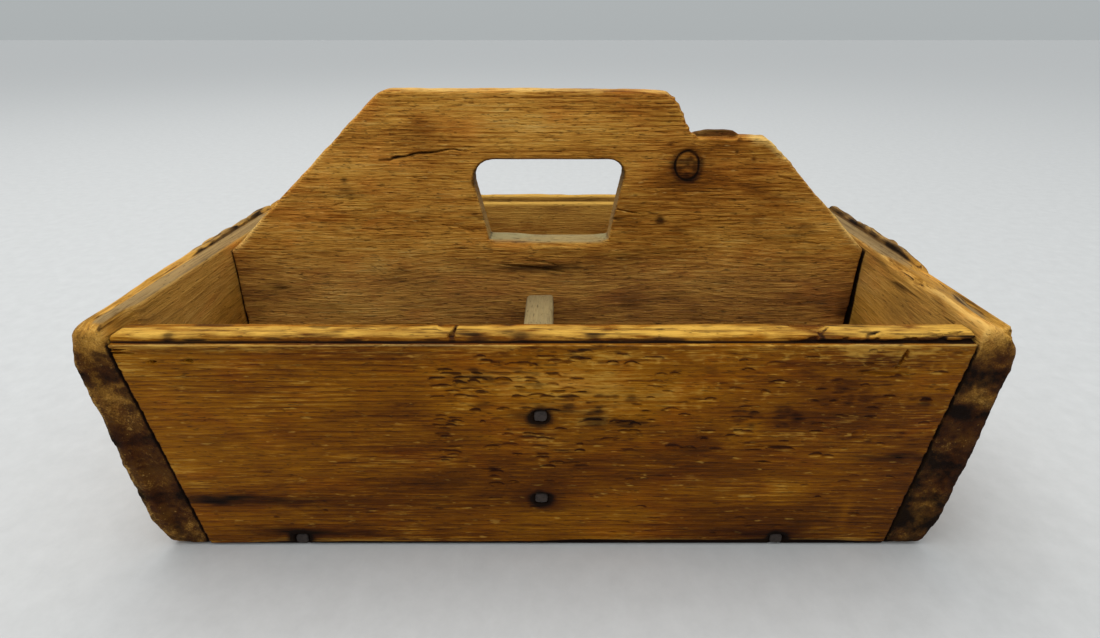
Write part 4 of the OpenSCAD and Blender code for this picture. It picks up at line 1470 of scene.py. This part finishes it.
def tint_inside(axis):
    """Colouring of the bottom board, grain along 0, or of the partition, grain along 1."""

    def tint(board, p):
        z = p[:, 2]
        tone = 0.5 + 0.3 * noise(p, (60, 60, 60), 84)
        dirt_and_shade = 0.22 + 0.2 * fractal(p, (50, 50, 20), 103) - 0.2 * ramp(z, 100, 122)
        return {"ring": ring_field(p, axis, (300, -40), 6, 8), "rings": np.full(len(p), 0.6), "tone": tone,
                "wear": 0.35 * ramp(board.bend(3.0), 0.04, 0.2), "dirt_and_shade": dirt_and_shade,
                "dust": 0.3 + 0.45 * ramp(z, 119, 122)}

    return tint


# Each board: node, piece, cell size, faces, edge radius, finer wear, colouring, material, slot
BOARDS = [
    ("handle_board", "handle_board_worn", (1.2, 1.1, 0.75), handle_faces, handle_radius, handle_detail,
     tint_handle, HANDLE_WOOD, "handle_wood"),
    ("front_board", "front_board_planed", (1.2, 1.2, 0.6), front_faces, thin_radius, front_detail,
     tint_front, BOARD_WOOD, "board_wood"),
    ("left_end", "left_end_worn", (0.9, 1.4, 0.9), end_faces, end_radius, end_detail(-1),
     tint_end(-1), END_WOOD, "end_wood"),
    ("right_end", "right_end_worn", (0.9, 1.4, 0.9), end_faces, end_radius, end_detail(1),
     tint_end(1), END_WOOD, "end_wood"),
    ("back_board", "back_board_planed", (2.2, 1.3, 1.1), back_faces, thin_radius, back_detail,
     tint_back, BOARD_WOOD, "board_wood"),
    ("bottom_board", "bottom_board_planed", (3.0, 2.5, 1.4), bottom_faces, thin_radius, bottom_detail,
     tint_inside(0), INNER_WOOD, "inner_wood"),
    ("cross_partition", "cross_partition_worn", (1.2, 1.8, 1.2), partition_faces, partition_radius,
     partition_detail, tint_inside(1), INNER_WOOD, "inner_wood"),
]


def shape_board(row):
    """One board's vertices and quads, and the values at its vertices."""
    node, _, step, faces, radius, detail, tint, _, _ = row
    board = Board(node, step, faces, radius, detail)
    return board.vertices, board.quads, tint(board, board.vertices)


def build_board(row, shape):
    """The board's piece in the scene."""
    node, name, *_, material, slot = row
    vertices, quads, values = shape
    mesh = new_mesh(name, vertices, quads)
    give(mesh, **values)
    add_piece(mesh, node, material, slot)


with ThreadPoolExecutor(4) as pool:
    for row, shape in zip(BOARDS, list(pool.map(shape_board, BOARDS))):
        build_board(row, shape)

# --------------------------------------------------------------------------------- nails and the brad


SHANK_SIDES = 24


def nail_rows(length, head_t):
    """Rows of points from the crown of a nail's head to its tip: depth along it, share of the head."""
    head = [(0.0, 0.30), (0.02, 0.62), (0.16, 0.86), (0.5, 0.97), (1.0, 1.0), (head_t, 0.95)]
    shank = [(head_t + 0.2, 0.42), (length * 0.5, 0.33), (length - 3, 0.2), (length, 0.06)]
    return head + shank


def nail_faces(rows):
    """Faces between the rows, and fans to the two points after them, on the crown and at the tip."""
    sides = [(n, (n + 1) % SHANK_SIDES) for n in range(SHANK_SIDES)]
    last = (rows - 1) * SHANK_SIDES
    crown = rows * SHANK_SIDES
    faces = [(row + n, row + m, row + SHANK_SIDES + m, row + SHANK_SIDES + n)
             for row in range(0, last, SHANK_SIDES) for n, m in sides]
    for n, m in sides:
        faces.append((crown, m, n))
        faces.append((crown + 1, last + n, last + m))
    return faces


def nail_mesh(low, high, drive, seed, round_head):
    """A hammered head and a tapered shank in the box of one CAD nail. drive is the way it is driven."""
    axis = int(np.argmax(np.abs(drive)))
    across = [n for n in range(3) if n != axis]
    middle = (low + high) / 2
    half = (high - low) / 2
    sign = 1 if drive[axis] > 0 else -1
    top, tip = (low[axis], high[axis]) if sign > 0 else (high[axis], low[axis])
    length = abs(tip - top)
    turns = np.linspace(0, 2 * np.pi, SHANK_SIDES + 1)[:-1]
    local = np.random.default_rng(seed)
    wobble = local.uniform(-0.05, 0.05, SHANK_SIDES)
    square = 2 if round_head else 4
    rows = nail_rows(length, 1.0 if round_head else HEAD_T)
    vertices = []
    for depth, share in rows:
        for t, w in zip(turns, wobble):
            c, s = math.cos(t), math.sin(t)
            reach = share * (1 + w) / (abs(c) ** square + abs(s) ** square) ** (1 / square) * 0.97
            point = middle.copy()
            point[across[0]] += half[across[0]] * reach * c
            point[across[1]] += half[across[1]] * reach * s
            dent = 0.22 * local.uniform(0, 1) if depth < 0.6 else 0
            point[axis] = top + sign * min(depth + dent, length)
            vertices.append(point)
    for end in (top + sign * 0.05, tip):
        point = middle.copy()
        point[axis] = end
        vertices.append(point)
    return np.array(vertices), nail_faces(len(rows))


def build_nails(node, drive, material, slot, round_head=False):
    """All nails of a node, as one piece."""
    vertices, faces = [], []
    for number, (low, high) in enumerate(solids_of(node)):
        points, polys = nail_mesh(low, high, drive, number + len(node), round_head)
        faces += [[i + len(vertices) for i in poly] for poly in polys]
        vertices += list(points)
    mesh = bpy.data.meshes.new(node + "_forged")
    mesh.from_pydata([tuple(v * MM) for v in vertices], [], faces)
    mesh.validate()
    mesh.shade_smooth()
    shell = bmesh.new()
    shell.from_mesh(mesh)
    bmesh.ops.recalc_face_normals(shell, faces=shell.faces)
    shell.to_mesh(mesh)
    shell.free()
    add_piece(mesh, node, material, slot)


for node, drive in (("front_partition_nails", Y), ("front_bottom_nails", Y), ("back_bottom_nails", -Y),
                    ("handle_partition_nails", -Y), ("handle_bottom_nails", Z)):
    build_nails(node, drive, NAIL_IRON, "nail_iron")
for side, way in (("left", X), ("right", -X)):
    for joint in JOINTS:
        build_nails(f"{side}_end_{joint}_nails", way, NAIL_IRON, "nail_iron")
build_nails("left_end_brad", Y, BRAD_STEEL, "brad_steel", round_head=True)

# ------------------------------------------------------------------------------- floor, lights, camera


def build_stage():
    """A plain pale floor."""
    g = Graph("pale_floor")
    position = g.add("TexCoord", out=3)
    mottle = g.noise(position, 60, 5, 0.7)
    tone = g.mix(g.between(mottle, 0.3, 0.7), colour(188, 188, 187), colour(196, 196, 195))
    g.set(g.inputs["Base Color"], tone)
    g.inputs["Roughness"].default_value = 0.85
    reach = 30.0
    mesh = bpy.data.meshes.new("floor")
    mesh.from_pydata([(-reach, -reach, 0), (reach, -reach, 0), (reach, reach, 0), (-reach, reach, 0)], [],
                     [(0, 1, 2, 3)])
    mesh.materials.append(g.material)
    into_scene("floor", mesh)


def build_light(name, place, aim, size, power, tint):
    """A soft rectangular lamp that faces a point."""
    data = bpy.data.lights.new(name, "AREA")
    data.shape = "RECTANGLE"
    data.size, data.size_y = size
    data.energy = power
    data.color = tint
    lamp = into_scene(name, data)
    lamp.location = place
    lamp.rotation_euler = (Vector(aim) - Vector(place)).to_track_quat("-Z", "Y").to_euler()


def build_world(low, high, overhead, strength):
    """Even pale surroundings, brighter overhead: a tone at the floor's level, one above it, one on top."""
    world = bpy.data.worlds.new("studio")
    world.use_nodes = True
    tree = world.node_tree
    place = tree.nodes.new("ShaderNodeTexCoord")
    split = tree.nodes.new("ShaderNodeSeparateXYZ")
    tones = tree.nodes.new("ShaderNodeValToRGB")
    tree.links.new(place.outputs["Generated"], split.inputs[0])
    tree.links.new(split.outputs["Z"], tones.inputs["Fac"])
    tree.links.new(tones.outputs["Color"], tree.nodes["Background"].inputs["Color"])
    tree.nodes["Background"].inputs["Strength"].default_value = strength
    points = tones.color_ramp.elements
    points[0].position, points[0].color = 0.0, low
    points[1].position, points[1].color = 1.0, overhead
    middle = points.new(0.3)
    middle.color = high
    bpy.context.scene.world = world


def build_lights():
    """A softbox overhead, to the left and a little in front, and pale surroundings."""
    build_light("overhead_softbox", (-0.7, -0.1, 3.0), (0, 0, 0.1), (2.6, 2.2), 52, (1.0, 0.99, 0.97))
    build_world(colour(146, 150, 151), colour(152, 156, 157), colour(236, 240, 243), 1.45)
    bpy.context.scene.view_settings.view_transform = "Standard"


def build_camera():
    """The photograph's viewpoint: 600 pixels of focal length in a frame 1100 pixels wide."""
    frame_w, frame_h, focal = 1100, 638, 600
    centre_x, centre_y = 554.9, 200
    data = bpy.data.cameras.new("camera")
    data.sensor_width = 36
    data.lens = focal / frame_w * data.sensor_width
    data.shift_x = (frame_w / 2 - centre_x) / frame_w
    data.shift_y = (centre_y - frame_h / 2) / frame_w
    data.clip_start = 0.01
    camera = into_scene("camera", data)
    camera.location = (0.0052, -0.4372, 0.3196)
    camera.rotation_euler = (math.radians(90 - 15.52), 0, 0)
    bpy.context.scene.camera = camera


build_stage()
build_lights()
build_camera()
